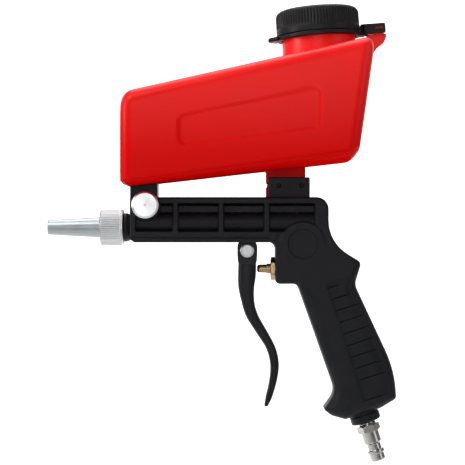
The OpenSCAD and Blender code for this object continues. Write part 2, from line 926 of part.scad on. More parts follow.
module inlet_collar() {
    color("#1f1f21")
        at_handle(grip_len)
            difference() {
                union() {
                    translate([0, 0, -collar_spigot])
                        cylinder(h = collar_spigot + over, r = inlet_spigot_r);
                    cylinder(h = collar_groove + over, r = inlet_collar_r - 1.2);
                    translate([0, 0, collar_groove])
                        cylinder(h = collar_flange, r = inlet_collar_r);
                }
                translate([0, 0, -collar_spigot - over])
                    cylinder(h = collar_spigot + over, r = inlet_r);
                translate([0, 0, -over])
                    cylinder(h = 20, r = inlet_bore_r);
                translate([0, 0, collar_groove + collar_flange - 7])
                    cylinder(h = 20, r = thread_r);
            }
}

// Quick-connect plug: each entry is a length down the plug and its radius
module air_plug() {
    steps = [[9, 0, 6.1], [4.3, 0, 4.75], [2.3, 0, 6.05], [5.5, 0, plug_tip_r]];
    hex_from = 2.5;
    hex_t = 4.8;
    color("#c4c1ba")
        at_handle(plug_from)
            difference() {
                union() {
                    translate([0, 0, -6.8])
                        cylinder(h = 6.8 + hex_from + 0.1, r = thread_r);
                    translate([0, 0, hex_from])
                        cylinder(h = hex_t, r = 8.08, $fn = 6);
                    for (i = [0 : len(steps) - 1])
                        translate([0, 0, hex_from + hex_t + run_from(steps, i) - 0.1])
                            cylinder(h = steps[i][0] + 0.1, r = steps[i][2]);
                }
                translate([0, 0, -20])
                    cylinder(h = 70, r = 3.6);
            }
}

function run_from(steps, i) = i == 0 ? 0 : steps[i - 1][0] + run_from(steps, i - 1);

// ---------- Trigger ----------

function lever_outline() = rounded([
    [pivot_x - 6.2, pivot_z, 0],
    [pivot_x - 6.0, pivot_z - 34.5, 40],
    [pivot_x + 19.1, pivot_z - lever_len * 0.68, 38],
    [pivot_x + 11.9, pivot_z - lever_len, 1.1],
    [pivot_x + 14.6, pivot_z - lever_len + 0.2, 1.1],
    [pivot_x + 27.6, pivot_z - lever_len * 0.709, 46],
    [pivot_x + 4.5, pivot_z - 42.4, 32],
    [pivot_x + 4.8, pivot_z - 28, 8],
    [pivot_x + lever_face, pivot_z - 17, 2],
    [pivot_x + lever_face, pivot_z, 0]]);

module trigger() {
    color("#202124")
        difference() {
            union() {
                slab(-lever_half_w, lever_half_w)
                    polygon(lever_outline());
                rod_y(pivot_x, pivot_z, hub_r, -cheek_half_w, cheek_half_w);
                slab(-cheek_half_w, cheek_half_w)
                    translate([pivot_x - 6.2, pivot_z - 9.5])
                        square([6.2 + lever_face, 9.5]);
            }
            rod_y(pivot_x, pivot_z, hub_r + 0.8, -lug_half_w - gap, lug_half_w + gap);
            slab(-lug_half_w - gap, lug_half_w + gap)
                translate([pivot_x - 20, pivot_z])
                    square([40, 20]);
            rod_y(pivot_x, pivot_z, pin_r + run_fit, -20, 20);
        }
}

module trigger_pin() {
    color("#c8cacc")
        union() {
            rod_y(pivot_x, pivot_z, pin_r, -cheek_half_w - gap - 0.1, cheek_half_w + gap + 1.4);
            rod_y(pivot_x, pivot_z, pin_r * 1.98, -cheek_half_w - gap - 1.4, -cheek_half_w - gap);
        }
}

module trigger_pin_clip() {
    color("#8f9296")
        ring_cut(pivot_x, pivot_z, pin_r, pin_r * 1.84, cheek_half_w + gap, cheek_half_w + gap + 1);
}

body_left();
body_right();
body_screws();
hopper();
hopper_screws();
outlet_seal();
hopper_cap();
cap_seal();
cap_tether();
feed_valve();
flow_knob();
feed_valve_seals();
feed_valve_clip();
mixing_barrel();
nozzle();
nozzle_nut();
nozzle_washer();
air_jet();
air_pipe();
valve_body();
valve_gland();
stem_seal();
valve_stem();
poppet_seal();
valve_spring();
valve_plug();
inlet_pipe();
inlet_collar();
air_plug();
trigger();
trigger_pin();
trigger_pin_clip();
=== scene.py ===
import math

import bpy
import numpy as np
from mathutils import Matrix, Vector
from mathutils.geometry import delaunay_2d_cdt


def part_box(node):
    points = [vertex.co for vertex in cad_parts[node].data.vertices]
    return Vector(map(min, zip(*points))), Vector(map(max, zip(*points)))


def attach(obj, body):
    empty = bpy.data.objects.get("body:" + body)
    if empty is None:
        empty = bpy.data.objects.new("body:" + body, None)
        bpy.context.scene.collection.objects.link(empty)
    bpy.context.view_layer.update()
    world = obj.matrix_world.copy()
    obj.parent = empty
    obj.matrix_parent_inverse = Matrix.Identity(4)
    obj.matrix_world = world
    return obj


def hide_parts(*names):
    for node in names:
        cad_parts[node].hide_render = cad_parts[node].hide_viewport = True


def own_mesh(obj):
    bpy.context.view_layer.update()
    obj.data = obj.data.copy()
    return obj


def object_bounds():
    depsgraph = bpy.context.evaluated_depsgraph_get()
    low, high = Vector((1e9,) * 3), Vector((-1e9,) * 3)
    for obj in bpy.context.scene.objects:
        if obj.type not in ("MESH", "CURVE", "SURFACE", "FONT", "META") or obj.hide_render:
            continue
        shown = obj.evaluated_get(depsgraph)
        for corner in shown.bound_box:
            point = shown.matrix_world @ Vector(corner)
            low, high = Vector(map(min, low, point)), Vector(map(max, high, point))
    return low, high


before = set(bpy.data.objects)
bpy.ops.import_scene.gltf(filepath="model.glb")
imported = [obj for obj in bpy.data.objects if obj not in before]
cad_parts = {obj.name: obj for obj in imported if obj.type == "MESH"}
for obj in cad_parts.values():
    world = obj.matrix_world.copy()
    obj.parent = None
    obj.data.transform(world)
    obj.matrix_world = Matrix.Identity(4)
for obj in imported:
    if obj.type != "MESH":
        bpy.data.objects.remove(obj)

bl_info = {
    "name": "Gravity blast gun",
    "version": (1, 0, 0),
    "blender": (4, 5, 0),
    "location": "View3D > Sidebar > Blast gun",
    "description": "Builds the finished surfaces of a gravity-feed blasting gun",
    "category": "Object",
}

MM = 0.001
CAD_BOX = [list(corner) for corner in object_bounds()]


# ---------------------------------------------------------------- the frame


def box_mm(node):
    """Lowest and highest corners of a node at rest, in millimetres."""
    low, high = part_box(node)
    return np.array(low) / MM, np.array(high) / MM


def middle_mm(node):
    """Centre of a node's box, in millimetres."""
    low, high = box_mm(node)
    return (low + high) / 2


# Body: front plate, top and bottom of the barrel, half width
BODY_LOW, BODY_HIGH = box_mm("body_left")
FRONT = BODY_LOW[0]
HALF_W = -BODY_LOW[1]
BLOCK_RISE = 13.8
TOP = BODY_HIGH[2] - BLOCK_RISE
BOTTOM = TOP - 31.4
VALVE_Z = middle_mm("valve_stem")[2]
HOUSING = box_mm("valve_gland")[0][0] + 3.3
BACK = HOUSING + 36.7
VALVE_R = 8.0
PIVOT = middle_mm("trigger_pin")[[0, 2]]
KNOB = middle_mm("flow_knob")[[0, 2]]
KNOB_R = 9.35
BOSS = np.array([BACK - 17.8, VALVE_Z + 17.2])
BOSS_R = 15.1
POST_LEN = 18.8
POST_HALF_W = 12.0
BLOCK_X = BACK - 41.3
BLOCK_LEN = 28.4
SCREW_R = 4.2

# Handle frame: s runs down the handle from the valve's axis, t to the back
LEAN = math.radians(17.7)
GRIP_LEN = 103.5
HANDLE = np.array([HOUSING + 29.85, VALVE_Z])
DOWN = np.array([math.sin(LEAN), -math.cos(LEAN)])
REAR = np.array([math.cos(LEAN), math.sin(LEAN)])

# Hopper lines over X
HOPPER_X = FRONT - 5.0
HOPPER_END = HOPPER_X + 170.2
HOPPER_HALF_W = box_mm("hopper")[1][1]
CREASE = (TOP + 9.7 - HOPPER_X * 0.138, 0.138)
PAN = (TOP + 8.0 - HOPPER_X * 0.114, 0.114)
ROOF = (91.2 - HOPPER_X * math.tan(math.radians(12.6)), math.tan(math.radians(12.6)))
REAR_LEAN = math.tan(math.radians(8.1))
HOPPER_BACK = HOPPER_END + 2.6

# Neck frame: its axis leans forward
NECK_LEAN = math.radians(4.0)
NECK_X = HOPPER_END - 34.2
NECK = np.array([NECK_X, 0.0, ROOF[0] + ROOF[1] * NECK_X + 13.2])
NECK_AXIS = np.array([-math.sin(NECK_LEAN), 0.0, math.cos(NECK_LEAN)])
NECK_R = 25.1
CAP_R = 29.15
TETHER_X = CAP_R + 12.95
TETHER_Z = -0.9


def hand(s, t):
    """Side-view point at s down the handle and t towards its back."""
    return HANDLE + s * DOWN + t * REAR


def hand_corner(s, t, r):
    """Outline corner given in the handle's frame."""
    x, z = hand(s, t)
    return (x, z, r)


def body_corners():
    """Corners of the pistol body's side view, as x, z and radius."""
    return [
        (FRONT, TOP, 1.0),
        (BACK, TOP, 8.5),
        (BACK, BOTTOM, 27.0),
        hand_corner(4.7, 29.6, 4.0),
        hand_corner(18.0, 20.9, 9.0),
        hand_corner(GRIP_LEN - 19.6, 29.4, 78.0),
        hand_corner(GRIP_LEN - 1.0, 24.3, 3.0),
        hand_corner(GRIP_LEN + 1.9, 12.0, 3.0),
        hand_corner(GRIP_LEN + 2.1, -13.8, 3.0),
        hand_corner(GRIP_LEN - 3.6, -22.3, 9.0),
        hand_corner(GRIP_LEN - 9.3, -26.2, 1.6),
        hand_corner(GRIP_LEN - 18.2, -14.6, 12.0),
        hand_corner(5.4, -17.1, 5.0),
        (HOUSING, VALVE_Z - VALVE_R - 2.4, 3.0),
        (HOUSING, BOTTOM, 4.5),
        (FRONT + 3.2, BOTTOM, 0.0),
        (FRONT, BOTTOM + 2.2, 0.0),
    ]


# ------------------------------------------------------------ curve helpers


def smooth(a, b, x):
    """Ease from 0 to 1 as x goes from a to b."""
    t = np.clip((x - a) / (b - a), 0.0, 1.0)
    return t * t * (3 - 2 * t)


def fillet(a, b, c, r, n):
    """Arc of radius r that rounds the corner b between a and c."""
    u = (a - b) / np.linalg.norm(a - b)
    v = (c - b) / np.linalg.norm(c - b)
    half = math.acos(np.clip(u @ v, -1, 1)) / 2
    o = b + (u + v) / np.linalg.norm(u + v) * r / math.sin(half)
    p = b + u * r / math.tan(half) - o
    q = b + v * r / math.tan(half) - o
    a0 = math.atan2(p[1], p[0])
    sweep = (math.atan2(q[1], q[0]) - a0 + math.pi) % (2 * math.pi) - math.pi
    angles = a0 + sweep * np.linspace(0, 1, n + 1)
    return o + r * np.stack([np.cos(angles), np.sin(angles)], 1)


def rounded(corners, n=8, closed=True):
    """Outline through corners (x, z, radius), each rounded by its own radius."""
    c = np.array(corners, float)
    last = len(c) - 1
    out = []
    for i in range(len(c)):
        ends = not closed and i in (0, last)
        if ends or c[i, 2] <= 0:
            out.append(c[i : i + 1, :2])
        else:
            out.append(fillet(c[i - 1, :2], c[i, :2], c[(i + 1) % len(c), :2], c[i, 2], n))
    return np.concatenate(out)


def divided(poly, step, closed=True):
    """The same outline with no stretch longer than step."""
    ends = np.roll(poly, -1, 0) if closed else poly[1:]
    starts = poly if closed else poly[:-1]
    runs = []
    for a, b in zip(starts, ends):
        n = max(1, int(math.ceil(np.linalg.norm(b - a) / step)))
        runs.append(a + (b - a) * np.linspace(0, 1, n, endpoint=False)[:, None])
    if not closed:
        runs.append(poly[-1:])
    return np.concatenate(runs)


def evenly(poly, n):
    """n points spaced evenly by length along an open line."""
    s = np.concatenate([[0], np.cumsum(np.linalg.norm(np.diff(poly, axis=0), axis=1))])
    want = np.linspace(0, s[-1], n)
    return np.stack([np.interp(want, s, poly[:, k]) for k in range(poly.shape[1])], 1)


def spline(points, n=12):
    """Smooth line through points: between two of them a cubic whose slope at each
    is half the step between its neighbours."""
    p = np.array(points, float)
    p = np.concatenate([2 * p[:1] - p[1:2], p, 2 * p[-1:] - p[-2:-1]])
    t = np.linspace(0, 1, n, endpoint=False)[:, None]
    runs = []
    for a, b, c, d in zip(p, p[1:], p[2:], p[3:]):
        runs.append(b + 0.5 * t * (c - a + t * (2 * a - 5 * b + 4 * c - d + t * (3 * (b - c) + d - a))))
    return np.concatenate(runs + [p[-2:-1]])


def outline_normals(poly):
    """Unit normals of a closed outline, pointing out of an anticlockwise one."""
    d = np.roll(poly, -1, 0) - np.roll(poly, 1, 0)
    d /= np.maximum(np.linalg.norm(d, axis=1), 1e-9)[:, None]
    return np.stack([d[:, 1], -d[:, 0]], 1)


def area_of(poly):
    """Signed area of an outline; positive runs anticlockwise."""
    x, z = poly[:, 0], poly[:, 1]
    return 0.5 * np.sum(x * np.roll(z, -1) - z * np.roll(x, -1))


def edge_distance(points, poly):
    """Distance from each point to the nearest stretch of a closed outline."""
    a = poly
    d = np.roll(poly, -1, 0) - a
    best = np.full(len(points), 1e9)
    for p0, v in zip(a, d):
        w = points - p0
        t = np.clip(w @ v / max(v @ v, 1e-12), 0, 1)
        best = np.minimum(best, np.hypot(*(w - t[:, None] * v).T))
    return best


def within(points, poly):
    """Which points lie inside a closed outline, by the crossings to their right."""
    count = np.zeros(len(points), int)
    for (x0, z0), (x1, z1) in zip(poly, np.roll(poly, -1, 0)):
        if z0 == z1:
            continue
        spans = (points[:, 1] > z0) != (points[:, 1] > z1)
        cross = x0 + (points[:, 1] - z0) / (z1 - z0) * (x1 - x0)
        count += spans & (points[:, 0] < cross)
    return count % 2 == 1


# ------------------------------------------------------------- mesh helpers


def mesh_object(name, points, faces, sharp=35.0):
    """Object from points in millimetres and faces, with its faces turned outwards."""
    mesh = bpy.data.meshes.new(name)
    mesh.from_pydata((np.asarray(points) * MM).tolist(), [], faces)
    mesh.validate()
    mesh.calc_loop_triangles()
    tris = np.empty(len(mesh.loop_triangles) * 3, np.int32)
    mesh.loop_triangles.foreach_get("vertices", tris)
    co = np.empty(len(mesh.vertices) * 3)
    mesh.vertices.foreach_get("co", co)
    a, b, c = co.reshape(-1, 3)[tris.reshape(-1, 3)].transpose(1, 0, 2)
    if np.einsum("ij,ij->i", a, np.cross(b, c)).sum() < 0:
        mesh.flip_normals()
    mesh.polygons.foreach_set("use_smooth", np.ones(len(mesh.polygons), bool))
    mesh.set_sharp_from_angle(angle=math.radians(sharp))
    mesh.update()
    piece = bpy.data.objects.new(name, mesh)
    bpy.context.scene.collection.objects.link(piece)
    return piece


def grid_faces(nu, nv, wrap_u=False, wrap_v=False):
    """Quads of a grid of nu by nv points, joined round where it wraps."""
    i = np.arange(nu if wrap_u else nu - 1)[:, None]
    j = np.arange(nv if wrap_v else nv - 1)[None, :]
    i1, j1 = (i + 1) % nu, (j + 1) % nv
    quads = np.stack([i * nv + j, i1 * nv + j, i1 * nv + j1, i * nv + j1], -1)
    return quads.reshape(-1, 4)


def tube_object(name, rings, sharp=35.0, poles=(None, None), wrap_u=False):
    """Closed surface from rings of points: quads between them, and at each end a
    flat face, or a fan to a pole point."""
    nu, nv = rings.shape[:2]
    faces = grid_faces(nu, nv, wrap_u=wrap_u, wrap_v=True).tolist()
    points = [rings.reshape(-1, 3)]
    if not wrap_u:
        extra = nu * nv
        for start, pole, turn in ((0, poles[0], -1), ((nu - 1) * nv, poles[1], 1)):
            loop = np.arange(nv) + start
            if pole is None:
                faces.append(loop[::turn].tolist())
            else:
                pairs = np.stack([loop, np.roll(loop, -1), np.full(nv, extra)], 1)
                faces += pairs[:, ::turn].tolist()
                points.append(np.asarray(pole, float)[None])
                extra += 1
    return mesh_object(name, np.concatenate(points), faces, sharp)


def axis_frame(axis):
    """Two directions square to an axis; the first is across the gun."""
    axis = np.asarray(axis, float) / np.linalg.norm(axis)
    across = np.array([0.0, 1.0, 0.0])
    if abs(axis @ across) > 0.9:
        across = np.array([1.0, 0.0, 0.0])
    across = across - axis * (axis @ across)
    across /= np.linalg.norm(across)
    return axis, across, np.cross(axis, across)


def turned(name, profile, origin, axis, segments=96, bore=False, shape=None, sharp=35.0):
    """Surface of revolution: a profile of (height, radius) turned about an axis.
    A profile with a bore closes on itself, and one without ends in poles. shape
    changes the radius with the angle."""
    axis, across, along = axis_frame(axis)
    theta = np.linspace(0, 2 * math.pi, segments, endpoint=False)
    h, r = profile[:, 0][:, None], profile[:, 1][:, None]
    radius = np.broadcast_to(r, (len(profile), segments)).copy()
    if shape is not None:
        radius = shape(theta[None, :], h, radius)
    around = np.cos(theta)[:, None] * across + np.sin(theta)[:, None] * along
    rings = np.asarray(origin) + h[..., None] * axis + radius[..., None] * around
    if bore:
        return tube_object(name, rings, sharp, wrap_u=True)
    ends = [np.asarray(origin) + profile[k, 0] * axis for k in (0, -1)]
    return tube_object(name, rings, sharp, poles=ends)


def turned_ring(name, corners, origin, axis, segments=96, shape=None, n=4, step=1.5):
    """Bored part turned from a rounded closed profile of (height, radius, fillet)."""
    profile = divided(rounded(corners, n), step)
    return turned(name, profile, origin, axis, segments, True, shape)


def plate(name, outline, y0, y1, edge=0.6, place=None, n=4):
    """Side-view outline given a thickness from y0 to y1, its edges rounded by
    insetting the outline along a quarter circle at each face."""
    if area_of(outline) < 0:
        outline = outline[::-1]
    normals = outline_normals(outline)
    a = np.linspace(0, math.pi / 2, n + 1)
    inset = edge * (1 - np.sin(a))
    depth = edge * (1 - np.cos(a))
    ys = np.concatenate([y0 + depth, (y1 - depth)[::-1]])
    insets = np.concatenate([inset, inset[::-1]])
    flat = outline[None] - insets[:, None, None] * normals[None]
    y = np.broadcast_to(ys[:, None], flat.shape[:2])
    rings = np.stack([flat[..., 0], y, flat[..., 1]], -1)
    if place is not None:
        rings = place(rings)
    return tube_object(name, rings)


def on_neck(points):
    """Moves points from the neck's own frame to the gun's."""
    c, s = math.cos(NECK_LEAN), math.sin(NECK_LEAN)
    x, y, z = points[..., 0], points[..., 1], points[..., 2]
    return np.stack([x * c - z * s, y, x * s + z * c], -1) + NECK


def settle(piece, body, slot, node=None, look=None):
    """Rides a piece on its body, names its slot and the node that it replaces, and
    gives it its finish: the slot's own, unless another look is named."""
    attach(piece, body)
    if node:
        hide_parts(node)
    dress(piece, look or slot)


def dress(piece, look):
    """Gives a piece one finish."""
    piece.data.materials.clear()
    piece.data.materials.append(finish(look))


# ---------------------------------------------------------------- materials


class Shader:
    """A short hand for building one Principled material from its nodes."""

    def __init__(self, name, **sockets):
        self.material = bpy.data.materials.new(name)
        self.material.use_nodes = True
        self.tree = self.material.node_tree
        self.surface = self.tree.nodes["Principled BSDF"]
        self.where = self.node("ShaderNodeTexCoord").outputs["Object"]
        for key, value in sockets.items():
            self.surface.inputs[key.replace("_", " ")].default_value = value

    def node(self, kind, **values):
        made = self.tree.nodes.new(kind)
        for key, value in values.items():
            setattr(made, key, value)
        return made

    def link(self, out, to):
        self.tree.links.new(out, to)

    def stretched(self, scale):
        """Object coordinates stretched along the axes."""
        mapping = self.node("ShaderNodeMapping")
        mapping.inputs["Scale"].default_value = scale
        self.link(self.where, mapping.inputs["Vector"])
        return mapping.outputs["Vector"]

    def noise(self, scale, detail=3.0, rough=0.5, where=None):
        made = self.node("ShaderNodeTexNoise")
        made.inputs["Scale"].default_value = scale
        made.inputs["Detail"].default_value = detail
        made.inputs["Roughness"].default_value = rough
        self.link(where or self.where, made.inputs["Vector"])
        return made.outputs["Fac"]

    def spread(self, value, low, high, start=0.3, end=0.7):
        """Maps a pattern's middle range onto low to high."""
        made = self.node("ShaderNodeMapRange")
        for key, number in (("From Min", start), ("From Max", end), ("To Min", low), ("To Max", high)):
            made.inputs[key].default_value = number
        self.link(value, made.inputs["Value"])
        return made.outputs["Result"]

    def blended(self, factor, a, b):
        made = self.node("ShaderNodeMix", data_type="RGBA")
        for socket, value in ((made.inputs[6], a), (made.inputs[7], b)):
            if isinstance(value, tuple):
                socket.default_value = value
            else:
                self.link(value, socket)
        self.link(factor, made.inputs[0])
        return made.outputs[2]

    def colour(self, value):
        self.link(value, self.surface.inputs["Base Color"])

    def roughness(self, value):
        self.link(value, self.surface.inputs["Roughness"])

    def bump(self, *layers):
        """Stacks bump layers, each a height, a strength and a distance in metres."""
        below = None
        for height, strength, distance in layers:
            made = self.node("ShaderNodeBump")
            made.inputs["Strength"].default_value = strength
            made.inputs["Distance"].default_value = distance
            self.link(height, made.inputs["Height"])
            if below is not None:
                self.link(below, made.inputs["Normal"])
            below = made.outputs["Normal"]
        self.link(below, self.surface.inputs["Normal"])


def shade(colour, factor):
    """A colour made lighter or darker, with its alpha kept."""
    return tuple(min(1.0, c * factor) for c in colour[:3]) + (1.0,)


def moulded_black(name, colour, rough=0.42, grain=2600.0):
    """Satin black plastic: fine spark-eroded grain, soft flow marks and a little
    grey scuffing."""
    s = Shader(name, Specular_IOR_Level=0.15)
    fine = s.noise(grain, 2.0, 0.55)
    flow = s.noise(38.0, 4.0, 0.6)
    scuff = s.noise(210.0, 6.0, 0.72)
    tone = s.blended(s.spread(flow, 0.0, 1.0), shade(colour, 0.86), shade(colour, 1.22))
    s.colour(s.blended(s.spread(scuff, 0.0, 0.5, 0.6, 0.82), tone, shade(colour, 2.2)))
    s.roughness(s.spread(flow, rough - 0.05, rough + 0.08))
    s.bump((flow, 0.12, 0.0004), (fine, 0.22, 0.00009))
    return s.material


def blown_red(name, colour):
    """Glossy blow-moulded red: faint orange peel, drag lines from the parison and
    slight shifts of depth in the colour, which is deeper and duller lower down."""
    s = Shader(name, Specular_IOR_Level=0.30)
    peel = s.noise(420.0, 2.0, 0.5)
    cloud = s.noise(16.0, 4.0, 0.55)
    drag = s.noise(24.0, 3.0, 0.5, s.stretched((0.6, 0.6, 14.0)))
    tone = s.blended(s.spread(cloud, 0.0, 1.0), shade(colour, 0.93), shade(colour, 1.06))
    tone = s.blended(s.spread(drag, 0.0, 0.25, 0.5, 0.75), tone, shade(colour, 1.16))
    # Painted shade: the red is blended by height alone towards a darker red lower down the hopper,
    # standing in for the light falling off towards its bottom
    height = s.node("ShaderNodeSeparateXYZ")
    s.link(s.where, height.inputs[0])
    low, high = box_mm("hopper")
    painted_shade_ramp = s.spread(height.outputs[2], 0.85, 0.0, low[2] * MM + 0.02, high[2] * MM - 0.02)
    # The painted shade's colour: the red darkened, its green and blue cut further
    s.colour(s.blended(painted_shade_ramp, tone, (colour[0] * 0.62, colour[1] * 0.2, colour[2] * 0.2, 1)))
    s.roughness(s.spread(cloud, 0.33, 0.41))
    s.bump((cloud, 0.10, 0.0006), (drag, 0.05, 0.0003), (peel, 0.07, 0.00012))
    # Faces that look down are duller, as dust and handling leave them
    split = s.node("ShaderNodeSeparateXYZ")
    s.link(s.node("ShaderNodeTexCoord").outputs["Normal"], split.inputs[0])
    gloss = s.node("ShaderNodeMath", operation="MULTIPLY")
    s.link(s.spread(split.outputs[2], 0.0, 0.32, -0.95, -0.35), gloss.inputs[0])
    s.link(s.spread(painted_shade_ramp, 1.0, 0.15, 0.0, 0.75), gloss.inputs[1])
    s.link(gloss.outputs[0], s.surface.inputs["Specular IOR Level"])
    return s.material


def turned_metal(name, colour, rough, centre=None, lines=1500.0, axis="X"):
    """Turned metal: tool lines that follow the lathe, as fine rings about the axis
    or, on a faced disc, circles about its centre."""
    s = Shader(name, Metallic=1.0)
    if centre is not None:
        mapping = s.node("ShaderNodeMapping")
        mapping.inputs["Location"].default_value = [-c for c in centre]
        s.link(s.where, mapping.inputs["Vector"])
        wave = s.node("ShaderNodeTexWave", wave_type="RINGS", rings_direction="Y")
        s.link(mapping.outputs["Vector"], wave.inputs["Vector"])
    else:
        wave = s.node("ShaderNodeTexWave", wave_type="BANDS", bands_direction=axis)
        s.link(s.where, wave.inputs["Vector"])
    wave.inputs["Scale"].default_value = lines
    wave.inputs["Distortion"].default_value = 1.5
    wave.inputs["Detail"].default_value = 2.0
    blot = s.noise(90.0, 4.0, 0.6)
    scratch = s.noise(420.0, 5.0, 0.7, s.stretched((1.0, 6.0, 1.0)))
    tone = s.blended(s.spread(blot, 0.0, 1.0), shade(colour, 0.9), shade(colour, 1.06))
    s.colour(s.blended(s.spread(scratch, 0.0, 0.3, 0.55, 0.8), tone, shade(colour, 0.7)))
    s.roughness(s.spread(blot, rough - 0.05, rough + 0.08))
    s.bump((wave.outputs["Fac"], 0.10, 0.00003), (scratch, 0.03, 0.00003))
    return s.material


def soft_rubber(name, colour):
    """Dull rubber with a faint bloom."""
    s = Shader(name, Specular_IOR_Level=0.3)
    bloom = s.noise(120.0, 4.0, 0.65)
    s.colour(s.blended(s.spread(bloom, 0.0, 1.0), shade(colour, 0.8), shade(colour, 1.5)))
    s.roughness(s.spread(bloom, 0.68, 0.85))
    s.bump((s.noise(1800.0), 0.2, 0.00008))
    return s.material


def plain_stage(name, colour):
    """Matt paper for the sweep behind the gun."""
    s = Shader(name, Specular_IOR_Level=0.1)
    fibre = s.noise(60.0, 3.0)
    s.colour(s.blended(s.spread(fibre, 0.0, 1.0), shade(colour, 0.995), shade(colour, 1.0)))
    s.roughness(s.spread(fibre, 0.85, 0.92))
    return s.material


FINISHES = {}


def finish(name):
    """The material of that name, made when it is first asked for."""
    if name not in FINISHES:
        look = bpy.context.scene.blast_gun_looks
        knob = [KNOB[0] * MM, 0.0, KNOB[1] * MM]
        makers = {
            "body_plastic": lambda n: moulded_black(n, look.body_colour, 0.44, 2400.0),
            "cap_plastic": lambda n: moulded_black(n, look.cap_colour, 0.40, 3200.0),
            "trigger_paint": lambda n: moulded_black(n, look.trigger_colour, 0.34, 3600.0),
            "black_fitting": lambda n: moulded_black(n, look.body_colour, 0.36, 3000.0),
            "hopper_plastic": lambda n: blown_red(n, look.hopper_colour),
            "polished_aluminium": lambda n: turned_metal(n, (0.37, 0.395, 0.41, 1), 0.34),
            "knob_aluminium": lambda n: turned_metal(n, (0.64, 0.66, 0.67, 1), 0.33, knob, 900.0),
            "nut_aluminium": lambda n: turned_metal(n, (0.60, 0.61, 0.62, 1), 0.38),
            "plated_steel": lambda n: turned_metal(n, (0.46, 0.45, 0.43, 1), 0.15, None, 1800.0, "Z"),
            "pin_steel": lambda n: turned_metal(n, (0.50, 0.51, 0.52, 1), 0.38, None, 900.0, "Y"),
            "screw_steel": lambda n: turned_metal(n, (0.10, 0.10, 0.11, 1), 0.38, None, 900.0, "Y"),
            "brass": lambda n: turned_metal(n, (0.36, 0.25, 0.13, 1), 0.25),
            "tube_metal": lambda n: turned_metal(n, (0.66, 0.44, 0.26, 1), 0.3),
            "black_rubber": lambda n: soft_rubber(n, (0.018, 0.018, 0.018, 1)),
            "seal_liner": lambda n: soft_rubber(n, (0.55, 0.51, 0.42, 1)),
            "stage_paper": lambda n: plain_stage(n, look.stage_colour),
        }
        FINISHES[name] = makers[name](name)
    return FINISHES[name]


# -------------------------------------------------------------- body shells


POCKET_RIB = 2.9
POCKET_COUNT = 4
POCKET_X = FRONT + 3.6
POCKET_END = BACK - 9.3
POCKET_PITCH = (POCKET_END - POCKET_X) / 3.95
POCKET_LOW = BOTTOM + 7.2
POCKET_HIGH = TOP - 4.0
POCKET_WALL = 0.9
POCKET_CORNER = 1.2
BARREL_SCREW_Z = TOP - 8.4
KNOB_SEAT_R = KNOB_R + 0.9
BOSS_DISC_R = BOSS_R * 0.69
# Round tube form along the pockets' floor, and the line under the barrel
TUBE_Z = 3.4
TUBE_R = 6.3
FLANGE_LINE = 3.3


def pocket_span(i):
    """Front and back ends of a pocket; the first is shorter than the rest."""
    start = POCKET_X + (i * POCKET_PITCH - 2.1 if i else 0)
    end = POCKET_X + (i + 1) * POCKET_PITCH - 2.1 - POCKET_RIB
    return start, POCKET_END if i == POCKET_COUNT - 1 else end


def barrel_screws():
    """Screw centres in the barrel, as part of each pocket's length."""
    shares = [0.84] + [0.5] * (POCKET_COUNT - 1)
    spans = [pocket_span(i) for i in range(POCKET_COUNT)]
    return [np.array([a + (b - a) * f, BARREL_SCREW_Z]) for (a, b), f in zip(spans, shares)]


def handle_screws():
    """Screw centres in the handle."""
    return [hand(6, 18.8), hand(GRIP_LEN * 0.46, 14.0), hand(GRIP_LEN - 11.5, 14.5)]


def groove_lines():
    """Places of the grip's grooves down the handle: an even run, then a last one
    near the foot."""
    return list(14.5 + 8.4 * np.arange(9)) + [GRIP_LEN - 7.3]


def pocket_distance(points):
    """Signed distance to the nearest pocket, negative inside. Each pocket is a
    rounded rectangle, cut short by the round boss or the knob's seat."""
    best = np.full(len(points), 1e9)
    for i in range(POCKET_COUNT):
        start, end = pocket_span(i)
        low, high = np.array([start, POCKET_LOW]), np.array([end, POCKET_HIGH])
        r = POCKET_CORNER
        q = np.abs(points - (low + high) / 2) - (high - low) / 2 + r
        d = np.hypot(*np.maximum(q, 0).T) + np.minimum(q.max(1), 0) - r
        if i == POCKET_COUNT - 1:
            d = np.maximum(d, BOSS_R - np.hypot(*(points - BOSS).T))
        if i == 0:
            d = np.maximum(d, KNOB_SEAT_R - np.hypot(*(points - KNOB).T))
        best = np.minimum(best, d)
    return best


def edge_radius(points):
    """Radius of the body's edge rounding: small on the barrel, large down the
    handle."""
    s = (points - HANDLE) @ DOWN
    t = (points - HANDLE) @ REAR
    grip = smooth(-8.0, 34.0, s) * smooth(-60.0, -10.0, t)
    return 1.5 + 10.5 * grip


